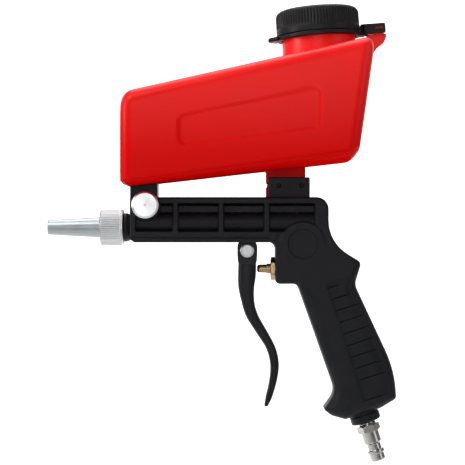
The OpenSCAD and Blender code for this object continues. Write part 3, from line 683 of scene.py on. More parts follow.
def shell_height(points, outline, right):
    """Height of a shell's outer face over the parting plane. A flat side with
    elliptical edges, less the pockets, whose floors hold a round tube form and a
    rail, with the boss, the flange and the grip's panel and grooves added."""
    d = edge_distance(points, outline)
    r = edge_radius(points)
    drop = r * (0.86 - 0.012 * r)
    near = np.clip(1 - d / r, 0, 1)
    height = HALF_W - drop + drop * np.sqrt(1 - near**2)
    x, z = points.T
    s = (points - HANDLE) @ DOWN
    t = (points - HANDLE) @ REAR
    # Round boss with a sunk disc, and the line of the flange under the barrel
    far = np.hypot(*(points - BOSS).T)
    around = smooth(BOSS_R - 0.1, BOSS_R + 0.5, far) * (1 - smooth(18.5, 19.5, far))
    upper = smooth(BOSS[1] - 2, BOSS[1] + 7, z)
    height -= 0.55 * around * upper * (1 - smooth(POCKET_HIGH - 1, POCKET_HIGH, z))
    sunk = 1 - smooth(BOSS_DISC_R - 0.35, BOSS_DISC_R + 0.1, far)
    height -= 0.95 * sunk
    line = np.exp(-(((z - BOTTOM - FLANGE_LINE) / 0.33) ** 2))
    height -= 0.8 * line * (1 - smooth(HOUSING - 5, HOUSING - 3, x))
    # Grip: panel set back a little, with grooves cut across it
    panel = smooth(1.2, 3.0, t) * smooth(11.5, 13.5, s)
    height -= 0.45 * panel * (1 - smooth(GRIP_LEN - 5.0, GRIP_LEN - 3.0, s))
    last = np.minimum(8.5 + 0.5 * (s - 10), 21.5) - 5.5 * smooth(GRIP_LEN - 16, GRIP_LEN - 10, s)
    ends = smooth(0.4, 2.2, t - 0.025 * s) * (1 - smooth(-1.2, 0.6, t - last))
    for line in groove_lines():
        cut = np.exp(-(((s - line) / 0.4) ** 2))
        lift = np.exp(-(((s - line - 1.5) / 1.1) ** 2))
        height -= (0.8 * cut - 0.12 * lift) * ends
    # Pockets
    tube = 8.4 + 4.4 * np.sqrt(np.clip(1 - ((z - TUBE_Z) / TUBE_R) ** 2, 0, 1))
    rail = 11.2 * smooth(9.9, 10.5, z) * (1 - 0.25 * smooth(14.6, 16.4, z))
    floor = np.maximum(np.where(z < 9.7, tube, 8.4), rail)
    inside = smooth(0.0, POCKET_WALL, -pocket_distance(points))
    if right:
        for centre in barrel_screws():
            boss = 1 - smooth(SCREW_R - 0.2, SCREW_R + 0.3, np.hypot(*(points - centre).T))
            floor = floor + (HALF_W - 3.0 - floor) * boss
        for centre in handle_screws():
            seat = 1 - smooth(3.3, 3.75, np.hypot(*(points - centre).T))
            height = height + (HALF_W - 3.0 - height) * seat
    return height + (floor - height) * inside


def ring_points(centre, radii, step):
    """Points round circles about a centre."""
    rings = []
    for r in radii:
        a = np.linspace(0, 2 * math.pi, max(12, int(2 * math.pi * r / step)), endpoint=False)
        rings.append(centre + r * np.stack([np.cos(a), np.sin(a)], 1))
    return np.concatenate(rings)


def kept_level(points, measured, level, slack=0.04):
    """Only the points whose measured distance is the level asked for."""
    return points[np.abs(measured - level) < slack]


def shell_samples(outline):
    """Points over the side view: rings inside the outline, rings along each pocket's
    wall, bands along the grooves and the boss, and an even field between them."""
    border = divided(outline, 0.9)
    normals = outline_normals(border) * np.sign(area_of(border))
    sets = []
    radius = edge_radius(border)
    for share in (0.04, 0.13, 0.28, 0.48, 0.72, 1.0):
        moved = border - normals * (share * radius)[:, None]
        ok = np.abs(edge_distance(moved, outline) - share * radius) < 0.05
        sets.append(moved[ok & within(moved, outline)])
    for level in (0.15, -0.08, -0.28, -0.48, -0.68, -0.9, -1.15):
        loops = []
        for i in range(POCKET_COUNT):
            x0, x1 = pocket_span(i)[0] - level, pocket_span(i)[1] + level
            z0, z1 = POCKET_LOW - level, POCKET_HIGH + level
            r = max(POCKET_CORNER + level, 0.05)
            loops.append(divided(rounded([(x0, z0, r), (x1, z0, r), (x1, z1, r), (x0, z1, r)], 5), 0.45))
        loops.append(ring_points(BOSS, [BOSS_R - level], 0.45))
        loops.append(ring_points(KNOB, [KNOB_SEAT_R - level], 0.45))
        every = np.concatenate(loops)
        sets.append(kept_level(every, pocket_distance(every), level))
    for line in groove_lines():
        for offset in (-1.1, -0.7, -0.42, -0.2, 0.0, 0.2, 0.42, 0.75, 1.3, 2.0):
            t = np.arange(1.4, 23.0, 0.7)
            sets.append(HANDLE + (line + offset) * DOWN + t[:, None] * REAR)
    sets.append(ring_points(BOSS, BOSS_DISC_R + np.array([-0.6, -0.35, -0.1, 0.15, 0.35]), 0.5))
    sets.append(ring_points(BOSS, BOSS_R + np.array([0.0, 0.3, 0.6]), 0.6))
    for centre in barrel_screws():
        sets.append(ring_points(centre, SCREW_R + np.array([-0.4, -0.15, 0.1, 0.4]), 0.6))
    for centre in handle_screws():
        sets.append(ring_points(centre, 3.5 + np.array([-0.35, -0.15, 0.1, 0.35]), 0.5))
    tube = TUBE_Z + TUBE_R * np.array([-0.99, -0.93, -0.8, -0.6, -0.3, 0, 0.3, 0.6, 0.8, 0.93, 0.99])
    rail = (9.75, 9.95, 10.25, 10.5, 14.6, 15.4)
    flange = (BOTTOM + 2.9, BOTTOM + FLANGE_LINE, BOTTOM + 3.7)
    runs = (
        (tube, POCKET_X, BACK - 9.0, 1.4),
        (rail, POCKET_X, BACK - 9.0, 1.2),
        (flange, FRONT + 1.0, HOUSING - 4.0, 1.2))
    for heights, start, end, step in runs:
        for z in heights:
            xs = np.arange(start, end, step)
            sets.append(np.stack([xs, np.full(len(xs), z)], 1))
    gx, gz = np.meshgrid(np.arange(FRONT, HANDLE[0] + 60, 1.3), np.arange(BODY_LOW[2], TOP, 1.13))
    gx = gx + 0.65 * (np.arange(gx.shape[0])[:, None] % 2)
    sets.append(np.stack([gx.ravel(), gz.ravel()], 1))
    points = np.concatenate(sets)
    points = points[within(points, outline)]
    points = points[edge_distance(points, outline) > 0.05]
    # One point to each small cell, the first come kept, so that none crowd
    cells = np.floor(points / 0.17).astype(np.int64)
    _, first = np.unique(cells[:, 0] * 100000 + cells[:, 1], return_index=True)
    return border, points[np.sort(first)]


def body_shell(name, border, points, triangles, outline, right):
    """Shell over the side view: its face is the height over each point, a wall
    drops from its border to the parting plane, and that plane closes it."""
    side = 1.0 if right else -1.0
    flat = np.concatenate([border, points])
    height = shell_height(flat, outline, right)
    n = len(border)
    face = np.stack([flat[:, 0], side * height, flat[:, 1]], 1)
    foot = np.stack([border[:, 0], np.zeros(n), border[:, 1]], 1)
    k = np.arange(n)
    k1 = (k + 1) % n
    base = len(flat)
    order = triangles if right else triangles[:, ::-1]
    wall = np.stack([k, k1, base + k1, base + k], 1)
    if not right:
        wall = wall[:, ::-1]
    back = (base + k).tolist()
    faces = order.tolist() + wall.tolist() + [back if right else back[::-1]]
    return mesh_object(name, np.concatenate([face, foot]), faces, 40.0)


def triangulated(border, points):
    """Triangles over the border's inside, joined from its sides and the points."""
    flat = np.concatenate([border, points])
    n = len(border)
    sides = [(i, (i + 1) % n) for i in range(n)]
    found = delaunay_2d_cdt([tuple(p) for p in flat], sides, [list(range(n))], 1, 1e-6)
    if len(found[0]) != len(flat):
        raise RuntimeError("the body's side view has points that coincide")
    return np.array([list(f) for f in found[2]])


def body_pieces():
    """Both shells, the feed post, the rear block's cheeks and the trigger's lug."""
    outline = rounded(body_corners())
    if area_of(outline) < 0:
        outline = outline[::-1]
    border, points = shell_samples(outline)
    triangles = triangulated(border, points)
    for right, node in ((False, "body_left"), (True, "body_right")):
        side = 1.0 if right else -1.0
        shell = body_shell(node + "_shell", border, points, triangles, outline, right)
        settle(shell, "gun_frame", "body_plastic", node)
        x1 = FRONT + POST_LEN
        post = rounded([
            (FRONT, TOP - 3, 0), (x1, TOP - 3, 0),
            (x1, PAN[0] + PAN[1] * x1 - 0.3, 0.6), (FRONT, PAN[0] + PAN[1] * FRONT - 0.3, 0.6)], 4)
        cheek = rounded([
            (BLOCK_X, TOP - 3, 0), (BLOCK_X + BLOCK_LEN, TOP - 3, 0),
            (BLOCK_X + BLOCK_LEN, TOP + BLOCK_RISE, 1.0), (BLOCK_X, TOP + BLOCK_RISE, 1.0)], 4)
        lug = rounded([
            (PIVOT[0] - 5.5, BOTTOM + 1, 0), (PIVOT[0] - 5.5, PIVOT[1] - 5.5, 5.4),
            (PIVOT[0] + 5.5, PIVOT[1] - 5.5, 5.4), (PIVOT[0] + 5.5, BOTTOM + 1, 0)], 8)
        shapes = (
            ("feed_post", post, 0.0, POST_HALF_W, 1.0),
            ("clamp_cheek", cheek, 5.05, POST_HALF_W, 0.7),
            ("trigger_lug", lug, 0.0, 4.0, 0.5))
        for word, shape, inner, outer, edge in shapes:
            y0, y1 = sorted((side * inner, side * outer))
            made = plate(f"{node}_{word}", divided(shape, 2.0), y0, y1, edge)
            settle(made, "gun_frame", "body_plastic", node)


def clamp_holes():
    """Dark mouths of the two clamp screw holes on the left cheek: shallow cups
    whose rims stand a hair proud of the face."""
    for i, x in enumerate((BLOCK_X + 6.9, BLOCK_X + 22.6)):
        corners = [
            (0.0, 0.9, 0), (0.0, 1.65, 0.05), (0.04, 1.65, 0.03), (0.04, 2.05, 0.03),
            (-0.6, 2.05, 0), (-2.4, 0.9, 0)]
        cup = turned_ring(f"clamp_hole_{i + 1}", corners, (x, -POST_HALF_W, TOP + 8.0), (0, -1, 0), 40)
        settle(cup, "gun_frame", "black_rubber")


# ------------------------------------------------------------------- hopper


def line_meets(line, x0, lean):
    """Height where a line z = a + b x meets a station x = x0 + lean z."""
    return (line[0] + line[1] * x0) / (1 - line[1] * lean)


def hopper_side_relief(x, z):
    """Depth of the sunk panel on each side: 0.9 mm inside a four-sided outline with
    rounded corners and a soft wall."""
    quad = rounded([
        (HOPPER_X + 40, 54.3, 4.5), (HOPPER_X + 133.9, 67.0, 4.5),
        (HOPPER_X + 134.5, 94.4, 4.5), (HOPPER_X + 39.7, 73.8, 4.5)], 6)
    points = np.stack([x.ravel(), z.ravel()], 1)
    d = edge_distance(points, quad) * np.where(within(points, quad), -1.0, 1.0)
    return (0.9 * (1 - smooth(-0.7, 0.7, d))).reshape(x.shape)


def section_shares():
    """Shares of the way up the side, closer together at the panel's two edges."""
    dense = lambda c: c + np.linspace(-0.045, 0.045, 13)
    shares = np.concatenate([np.linspace(0, 1, 34), dense(0.27), dense(0.62)])
    return np.unique(np.round(shares, 4))


def hopper_shell():
    """Tank lofted between its upright front face and its leaning rear face. Each
    station's section is a pan, a step and a gently swelling side under the sloping
    roof, drawn in near both ends along a quarter circle."""
    r_end = 8.0
    rear_foot = HOPPER_BACK - (line_meets(ROOF, HOPPER_BACK, 0) - 52.0) * REAR_LEAN
    length = rear_foot - HOPPER_X
    lead = r_end * (1 - np.cos(np.linspace(0, math.pi / 2, 15)))
    a = np.concatenate([lead, np.arange(r_end + 1.4, length - r_end - 0.7, 1.45), length - lead[::-1]])
    q = (a / length)[:, None]
    near = np.clip(1 - np.minimum(a, length - a) / r_end, 0, 1)
    inset = (r_end * (1 - np.sqrt(1 - near**2)))[:, None]
    lean = q * REAR_LEAN
    x0 = HOPPER_X * (1 - q) + (rear_foot - 52.0 * REAR_LEAN) * q
    near_pan = np.clip(1 - (np.minimum(a, length - a) - 1.0) / 4.2, 0, 1)
    inset_pan = (4.2 * (1 - np.sqrt(1 - near_pan**2)))[:, None]
    step = line_meets(CREASE, x0, lean) + 0.15 * inset
    foot = np.minimum(line_meets(PAN, x0, lean) + inset_pan, step - 0.6)
    roof = line_meets(ROOF, x0, lean) - inset
    half = HOPPER_HALF_W - inset
    pan = half - 2.8
    # Bottom, its corner, the pan's side, the step, then the side, shoulder and roof
    up = np.linspace(0, 1, 12)[None, :-1]
    arc = np.linspace(0, math.pi / 2, 7)[None]
    r1, r2, r4 = 9.0, 1.3, 8.5
    y_parts = [up * (pan - r1)]
    z_parts = [foot - 1.1 * (1 - up**2)]
    y_parts.append(pan - r1 + r1 * np.sin(arc))
    z_parts.append(foot + np.minimum(5.0, step - foot - 0.3) * (1 - np.cos(arc)))
    y_parts.append(pan + 0.4 + 0 * arc[:, :1])
    z_parts.append(step - 0.25 + 0 * arc[:, :1])
    y_parts.append(half - 1.0 - r2 + r2 * np.sin(arc))
    z_parts.append(step + r2 * (1 - np.cos(arc)))
    shares = section_shares()[None, 1:]
    z_side = step + r2 + shares * (roof - r4 - step - r2)
    full = (z_side - step) / (roof - step)
    bulge = -1.0 + 1.0 * np.sin(np.clip(full * 1.7, 0, 1) * math.pi / 2) - 0.9 * full**3
    x_side = x0 + lean * z_side
    y_parts.append(half + bulge - hopper_side_relief(x_side, z_side))
    z_parts.append(z_side)
    shoulder = y_parts[-1][:, -1:]
    y_parts.append(shoulder - r4 + r4 * np.cos(arc[:, 1:]))
    z_parts.append(roof - r4 + r4 * np.sin(arc[:, 1:]))
    back = np.linspace(1, 0, 28)[None, 1:]
    y_parts.append(back * (shoulder - r4))
    z_parts.append(roof + 0 * back)
    y = np.concatenate([np.broadcast_to(p, (len(a), p.shape[1])) for p in y_parts], 1)
    z = np.concatenate([np.broadcast_to(p, (len(a), p.shape[1])) for p in z_parts], 1)
    y = np.concatenate([y, -y[:, -2:0:-1]], 1)
    z = np.concatenate([z, z[:, -2:0:-1]], 1)
    x = x0 + lean * z
    rings = np.stack([x, y, z], -1)
    nu, nv = rings.shape[:2]
    points = rings.reshape(-1, 3)
    quads = grid_faces(nu, nv, wrap_v=True)
    middle = points[quads].mean(1)
    rel = middle - NECK
    height = rel @ NECK_AXIS
    radial = np.linalg.norm(rel - height[:, None] * NECK_AXIS, axis=1)
    mouth = (radial < NECK_R - 1.2) & (height > -40)
    faces = quads[~mouth].tolist() + [np.arange(nv)[::-1].tolist()]
    faces.append((np.arange(nv) + (nu - 1) * nv).tolist())
    tank = mesh_object("hopper_tank", points, faces, 45.0)
    wall = tank.modifiers.new("wall", "SOLIDIFY")
    wall.thickness = 2.2 * MM
    wall.offset = -1.0
    wall.use_rim = True
    return tank


def hopper_neck():
    """Open neck with a rounded lip and a screw thread: a ridge that climbs one
    pitch each turn, as the radius swells where the helix passes."""
    pitch = 3.2
    profile = divided(rounded([
        (-15.0, NECK_R - 2.5, 0), (10.5, NECK_R - 2.5, 0.8),
        (10.5, NECK_R, 0.8), (-15.0, NECK_R + 0.9, 0)], 5), 0.4)

    def thread(theta, h, r):
        phase = (h / pitch - theta / (2 * math.pi)) % 1.0
        ridge = smooth(0.25, 0.45, phase) * (1 - smooth(0.55, 0.75, phase))
        zone = smooth(0.8, 1.8, h) * (1 - smooth(8.4, 9.4, h)) * (r > NECK_R - 1)
        return r + 0.75 * ridge * zone

    return turned("hopper_neck", profile, NECK, NECK_AXIS, 160, True, thread)


def hopper_pieces():
    """Tank, neck, outlet tongue with its notch, and the lug for the cap's leash."""
    settle(hopper_shell(), "gun_frame", "hopper_plastic", "hopper")
    settle(hopper_neck(), "gun_frame", "hopper_plastic", "hopper")
    x0, x1 = BLOCK_X - 1.8, BLOCK_X + 25.7
    notch = TOP + 6.8
    tongue = rounded([
        (x0, TOP + 0.1, 0.4), (x1, TOP + 0.1, 0.4), (x1, PAN[0] + PAN[1] * x1 + 2, 0),
        (x0 - 2.5, PAN[0] + PAN[1] * x0 + 2, 0), (x0, PAN[0] + PAN[1] * x0 - 2.5, 1.4),
        (x0, notch + 2.8, 0.5), (x0 + 1.4, notch + 2.6, 0.5),
        (x0 + 1.4, notch + 0.4, 0.5), (x0, notch, 0.5)], 5)
    made = plate("hopper_tongue", divided(tongue, 1.5), -5.0, 5.0, 0.6)
    settle(made, "gun_frame", "hopper_plastic", "hopper")
    gusset = rounded([
        (TETHER_X - 8.2, -2.8, 0.4), (TETHER_X + 4.9, -2.8, 1.2), (TETHER_X + 4.9, -5.0, 1.5),
        (TETHER_X + 2.9, -9.2, 2.0), (TETHER_X - 1.4, -12.0, 2.0), (TETHER_X - 4.7, -15.7, 2.0),
        (TETHER_X - 10, -21.6, 0), (TETHER_X - 12.5, -12.6, 0)], 5)
    lug = plate("hopper_lug", divided(gusset, 1.2), -5.0, 5.0, 0.8, on_neck)
    settle(lug, "gun_frame", "hopper_plastic", "hopper")
    a = np.linspace(0, 2 * math.pi, 48, endpoint=False)
    disc = np.stack([TETHER_X + 3.6 * np.cos(a), TETHER_Z + 3.6 * np.sin(a)], 1)
    knuckle = plate("hopper_knuckle", disc, -5.0, 5.0, 0.5, on_neck)
    settle(knuckle, "gun_frame", "hopper_plastic", "hopper")
    spout = turned_ring("hopper_spout", [
        (0, 3.6, 0), (10.0, 3.6, 0), (10.0, 4.6, 0), (0, 4.6, 0.3)],
        (KNOB[0], 0, TOP + 2.6), (0, 0, 1), 48)
    settle(spout, "gun_frame", "hopper_plastic", "hopper")


# ---------------------------------------------------------- cap and its leash


def cap_pieces():
    """Screw cap with fine grip ribs over a plain band, and its liner."""
    sizes = bpy.context.scene.blast_gun_sizes
    count, depth = sizes.cap_ribs, sizes.cap_rib_depth / MM

    def ribs(theta, h, r):
        zone = smooth(4.2, 5.4, h) * (1 - smooth(14.0, 16.2, h)) * (r > CAP_R - 3.5)
        wave = np.clip(0.5 - 0.62 * np.cos(count * theta), 0, 1)
        return r - depth * wave * zone + 0.12 * (1 - smooth(3.6, 4.4, h)) * (h > 0) * (r > CAP_R - 1)

    swivel = CAP_R - 1.75
    profile = [
        (-3.3, 26.4, 0.3), (12.8, 26.4, 0.6), (12.8, 0.4, 0), (16.6, 0.4, 0), (16.6, 21.5, 0.3),
        (17.4, 22.4, 0.8), (17.5, CAP_R - 0.25, 4.6), (4.0, CAP_R - 0.05, 0), (0.05, CAP_R - 0.12, 0.5),
        (0.0, swivel, 0.2), (-2.4, swivel, 0.1), (-2.5, swivel + 0.9, 0.2), (-3.3, swivel + 0.9, 0.3)]
    cap = turned("cap_top", divided(rounded(profile, 7), 0.8), NECK, NECK_AXIS, count * 6, True, ribs)
    settle(cap, "cap_body", "cap_plastic", "hopper_cap")
    centre = turned("cap_centre", rounded([
        (12.8, 0.5, 0), (12.8, 0.9, 0), (16.75, 0.9, 0), (16.75, 0.5, 0)], 2),
        NECK, NECK_AXIS, 32)
    settle(centre, "cap_body", "cap_plastic", "hopper_cap")


def tether_pieces():
    """Ring under the cap, its thumb tab, and the band whose cheeks pin to the lug."""
    inner = CAP_R - 1.45
    ring = turned_ring("tether_ring", [
        (-3.3, inner + 1.0, 0.2), (-2.2, inner + 0.9, 0.1), (-2.1, inner, 0.1), (-0.3, inner, 0.3),
        (-0.3, CAP_R, 0.5), (-3.3, CAP_R, 0.7)], NECK, NECK_AXIS, 192, step=1.2)
    settle(ring, "tether_body", "cap_plastic", "cap_tether")
    # Tab: a tongue that widens into the ring, seen from above, 3 mm thick
    a = np.linspace(-1, 1, 33)
    reach = 6.2 * np.sqrt(np.clip(1 - np.abs(a) ** 2.6, 0, 1))
    outer = np.stack([-CAP_R - reach, 7.2 * a * (1 + 0.35 * (1 - reach / 6.2) ** 2)], 1)
    base = np.stack([np.full(9, -CAP_R + 1.2), np.linspace(8.6, -8.6, 9)], 1)
    loop = np.concatenate([outer, base])
    if area_of(loop) < 0:
        loop = loop[::-1]
    normals = outline_normals(loop)
    angle = np.linspace(0, math.pi / 2, 5)
    inset = np.concatenate([1.2 * (1 - np.sin(angle)), (1.2 * (1 - np.sin(angle)))[::-1]])
    z = np.concatenate([-3.3 + 1.2 * (1 - np.cos(angle)), (-0.3 - 1.2 * (1 - np.cos(angle)))[::-1]])
    flat = loop[None] - inset[:, None, None] * normals[None]
    level = np.broadcast_to(z[:, None], flat.shape[:2])
    tab = tube_object("tether_tab", on_neck(np.concatenate([flat, level[..., None]], -1)))
    settle(tab, "tether_body", "cap_plastic", "cap_tether")
    # Band: a bridge behind the ring and two cheeks, each with a slot
    bridge = rounded([
        (CAP_R + 0.3, -3.2, 0.2), (CAP_R + 3.4, -3.2, 0.3),
        (CAP_R + 3.4, 4.3, 0.8), (CAP_R + 0.3, 4.3, 0.4)], 4)
    made = plate("tether_bridge", divided(bridge, 1.0), -7.3, 7.3, 0.7, on_neck)
    settle(made, "tether_body", "cap_plastic", "cap_tether")
    foot = rounded([
        (CAP_R - 1.2, -3.2, 0.1), (CAP_R + 1.2, -3.2, 0.1),
        (CAP_R + 1.2, -0.4, 0.1), (CAP_R - 1.2, -0.4, 0.1)], 2)
    made = plate("tether_foot", divided(foot, 1.0), -6.8, 6.8, 0.2, on_neck)
    settle(made, "tether_body", "cap_plastic", "cap_tether")
    for side, word in ((-1, "left"), (1, "right")):
        low, high = -2.6, 4.3
        slot_low, slot_high = TETHER_Z + 1.6, TETHER_Z + 3.0
        sill, head = slot_low - 0.1, slot_high + 0.1
        x0, x1 = CAP_R + 1.5, TETHER_X + 4.4
        s0, s1 = TETHER_X - 2.7, TETHER_X + 2.7
        parts = {
            "lower": [(x0, low, 0.2), (x1, low, 1.0), (x1, slot_low, 0), (x0, slot_low, 0)],
            "upper": [(x0, slot_high, 0), (x1, slot_high, 0), (x1, high, 1.2), (x0, high, 0.3)],
            "front": [(x0, sill, 0), (s0, sill, 0), (s0, head, 0), (x0, head, 0)],
            "rear": [(s1, sill, 0), (x1, sill, 0), (x1, head, 0), (s1, head, 0)],
        }
        y0, y1 = sorted((side * 5.3, side * 7.3))
        for key, corners in parts.items():
            outline = divided(rounded(corners, 4), 1.0)
            made = plate(f"tether_cheek_{word}_{key}", outline, y0, y1, 0.02, on_neck)
            settle(made, "tether_body", "cap_plastic", "cap_tether")
    a = np.linspace(0, 2 * math.pi, 32, endpoint=False)
    bar = np.stack([TETHER_X + 1.2 * np.cos(a), TETHER_Z + 1.2 * np.sin(a)], 1)
    made = plate("tether_pin", bar, -6.4, 6.4, 0.1, on_neck)
    settle(made, "tether_body", "cap_plastic", "cap_tether")


# --------------------------------------------------------- nozzle, nut, knob


def nozzle_pieces():
    """Tapered nozzle with its bore, the knurled nut and the black neck behind it."""
    sizes = bpy.context.scene.blast_gun_sizes
    axis, origin = (1, 0, 0), (0, 0, 0)
    end = box_mm("nozzle")[1][0]
    nozzle = turned_ring("nozzle_turned", [
        (0.0, 3.0, 0.4), (0.0, 5.1, 0.6), (1.0, 5.22, 0.2), (end - 2.5, 7.6, 0), (end - 2.5, 9.2, 0.2),
        (end, 9.2, 0.2), (end, 4.5, 0), (end - 15, 3.0, 0)], origin, axis, 128, n=6)
    settle(nozzle, "gun_frame", "polished_aluminium", "nozzle")
    low, high = box_mm("nozzle_nut")
    radius = high[1]
    count, depth = sizes.nut_grooves, sizes.nut_groove_depth / MM

    def knurl(theta, h, r):
        zone = smooth(low[0] + 0.5, low[0] + 1.1, h) * (1 - smooth(high[0] - 1.9, high[0] - 1.5, h))
        zone = zone * (r > radius - 0.9)
        wave = (0.5 - 0.5 * np.cos(count * theta)) ** 2.2
        return r - depth * wave * zone

    x0, x1 = low[0], high[0]
    nut = turned("nut_knurled", divided(rounded([
        (x0, 8.0, 0.2), (x0, radius - 0.9, 0.25), (x0 + 0.7, radius, 0.3), (x1 - 1.5, radius, 0.1),
        (x1 - 1.35, radius - 0.3, 0.05), (x1 - 1.1, radius - 0.3, 0.05), (x1 - 0.95, radius - 0.1, 0.1),
        (x1 - 0.4, radius - 0.1, 0.3), (x1, radius - 0.9, 0.2), (x1, 9.55, 0.2),
        (end - 2.8, 9.55, 0.1), (end - 2.8, 8.0, 0.1)], 4), 0.8),
        origin, axis, count * 10, True, knurl, 30.0)
    settle(nut, "nut_body", "nut_aluminium", "nozzle_nut")
    x0 = box_mm("mixing_barrel")[0][0]
    neck = turned_ring("barrel_neck", [
        (x0, 4.5, 0.2), (x0, 9.5, 0.5), (x0 + 7.0, 9.5, 0.2), (x0 + 7.0, 10.0, 0.3), (x0 + 8.8, 10.0, 0.4),
        (x0 + 11.7, 9.0, 0.1), (x0 + 11.7, 7.5, 0), (x0 + 45, 7.5, 0.2), (x0 + 45, 4.5, 0)],
        origin, axis, 128)
    settle(neck, "gun_frame", "black_fitting", "mixing_barrel")


def knob_piece():
    """Media knob: a disc with a rounded rim, a faced front and a small dished
    centre."""
    back = box_mm("flow_knob")[1][1]
    front = box_mm("flow_knob")[0][1]
    t = back - front
    profile = rounded([
        (0.0, 0.3, 0), (0.0, KNOB_R - 0.3, 0.3), (0.8, KNOB_R, 0.2), (t - 0.9, KNOB_R, 0.3),
        (t, KNOB_R - 1.2, 0.5), (t, 0.9, 0.2), (t - 0.12, 0.3, 0)], 5, False)
    origin = (KNOB[0], back, KNOB[1])
    knob = turned("knob_disc", divided(profile, 0.7, False), origin, (0, -1, 0), 128)
    settle(knob, "feed_valve_body", "polished_aluminium", "flow_knob", "knob_aluminium")


# ------------------------------------------------------------------ trigger


def trigger_pieces():
    """Lever swept between its front and back edges with a rounded section, and the
    two cheeks that straddle the body's lug."""
    px, pz = PIVOT
    k = (pz - box_mm("trigger")[0][2]) / 110.5
    front = spline([
        (-6.3, -8), (-6.4, -24), (-4.3, -35.2), (-0.8, -46.4), (6.2, -57.6), (13.2, -68.8), (16.0, -80),
        (15.3, -91.2), (12.9, -102.4), (12.0, -108)]) * [1, k] + PIVOT
    back = spline([
        (6.3, -8), (6.15, -18), (4.9, -28), (5.5, -38), (8.3, -46.4), (14.6, -57.6), (20.2, -68.8),
        (22.3, -80), (20.9, -91.2), (17.7, -102.4), (15.0, -108)]) * [1, k] + PIVOT
    n = 110
    f, b = evenly(front, n), evenly(back, n)
    u = np.linspace(0, 1, n)[:, None]
    middle, across = (f + b) / 2, (b - f) / 2
    wide = 6.9 - 1.3 * smooth(0.05, 0.6, u) - 0.9 * smooth(0.75, 1.0, u)
    phi = np.linspace(0, 2 * math.pi, 40, endpoint=False)[None]
    power = 2 / 3.2
    c = np.sign(np.cos(phi)) * np.abs(np.cos(phi)) ** power
    s = np.sign(np.sin(phi)) * np.abs(np.sin(phi)) ** power
    rings = np.stack([middle[:, :1] + across[:, :1] * c, wide * s, middle[:, 1:] + across[:, 1:] * c], -1)
    # Rounded foot: the last ring shrinks along a half circle past the end
    way = middle[-1] - middle[-2]
    way /= np.linalg.norm(way)
    reach = np.linalg.norm(across[-1])
    a = np.linspace(0, math.pi / 2, 7)[1:-1]
    centre = np.array([middle[-1, 0], 0, middle[-1, 1]])
    toe = centre + (rings[-1] - centre)[None] * np.cos(a)[:, None, None]
    toe = toe + (reach * np.sin(a))[:, None, None] * np.array([way[0], 0, way[1]])
    tip = centre + reach * np.array([way[0], 0, way[1]])
    lever = tube_object("trigger_lever", np.concatenate([rings, toe]), 40.0, poles=(None, tip))
    settle(lever, "trigger_body", "trigger_paint", "trigger")
    hub = rounded([
        (px - 6.5, pz - 10.3, 3.5), (px - 6.9, pz - 1.5, 6), (px - 6.8, pz + 7.0, 4.5),
        (px + 6.9, pz + 7.0, 4.5), (px + 7.1, pz - 1.5, 6), (px + 6.5, pz - 10.3, 3.5)], 8)
    for side, word in ((-1, "left"), (1, "right")):
        y0, y1 = sorted((side * 4.3, side * 8.0))
        cheek = plate(f"trigger_cheek_{word}", divided(hub, 1.2), y0, y1, 0.7)
        settle(cheek, "trigger_body", "trigger_paint", "trigger")


def pin_piece():
    """Trigger pin with a low domed head on the left."""
    low, high = box_mm("trigger_pin")
    r = (high[0] - low[0]) / 2
    length = high[1] - low[1]
    profile = rounded([
        (0.0, 0.2, 0), (0.0, r - 1.2, 1.6), (0.7, r, 0.5), (1.4, r, 0.1), (1.4, 2.5, 0.1),
        (length - 0.3, 2.5, 0.3), (length, 2.2, 0.2), (length, 0.2, 0)], 6, False)
    start = (PIVOT[0], low[1], PIVOT[1])
    pin = turned("pin_turned", divided(profile, 0.9, False), start, (0, 1, 0), 64)
    settle(pin, "gun_frame", "plated_steel", "trigger_pin", "pin_steel")


# ------------------------------------------------- air valve front and inlet


def hexagon(flat):
    """Radius limit that gives a round part six flats, corners knocked off."""

    def limit(theta, r):
        turn = (theta + math.pi / 6) % (math.pi / 3) - math.pi / 6
        return np.minimum(r, flat / np.cos(turn))

    return limit


def valve_front_pieces():
    """Brass gland with chamfered hexagon, and the stem with its rounded tip."""
    z = VALVE_Z
    x = HOUSING - 3.3
    hexed = hexagon(7.1)

    def head(theta, h, r):
        return np.where(h < x + 3.35, hexed(theta, r), r)

    gland = turned("gland_turned", divided(rounded([
        (x - 2.6, 3.0, 0.1), (x - 2.6, 3.6, 0.3), (x, 3.6, 0.1), (x, 6.6, 0.2), (x + 0.6, 8.1, 0.1),
        (x + 2.8, 8.1, 0.1), (x + 3.3, 7.2, 0.1), (x + 3.4, 5.5, 0), (x + 13.8, 5.5, 0),
        (x + 13.8, 4.4, 0), (x + 11.4, 4.4, 0), (x + 11.4, 3.0, 0)], 3), 0.9),
        (0, 0, z), (1, 0, 0), 96, True, head)
    settle(gland, "gun_frame", "brass", "valve_gland")
    low, high = box_mm("valve_stem")
    x0, x1 = low[0], high[0]
    profile = rounded([
        (x0, 0.25, 0), (x0, 2.95, 2.2), (x1 - 19.3, 2.95, 0.3), (x1 - 19.3, 2.0, 0.1),
        (x1 - 9.5, 2.0, 0.1), (x1 - 9.5, 4.8, 0.2), (x1 - 5.5, 4.8, 0.2), (x1 - 5.5, 2.0, 0.1),
        (x1, 2.0, 0.4), (x1, 0.25, 0)], 6, False)
    stem = turned("stem_turned", divided(profile, 1.2, False), (0, 0, z), (1, 0, 0), 64)
    settle(stem, "valve_stem_body", "brass", "valve_stem")


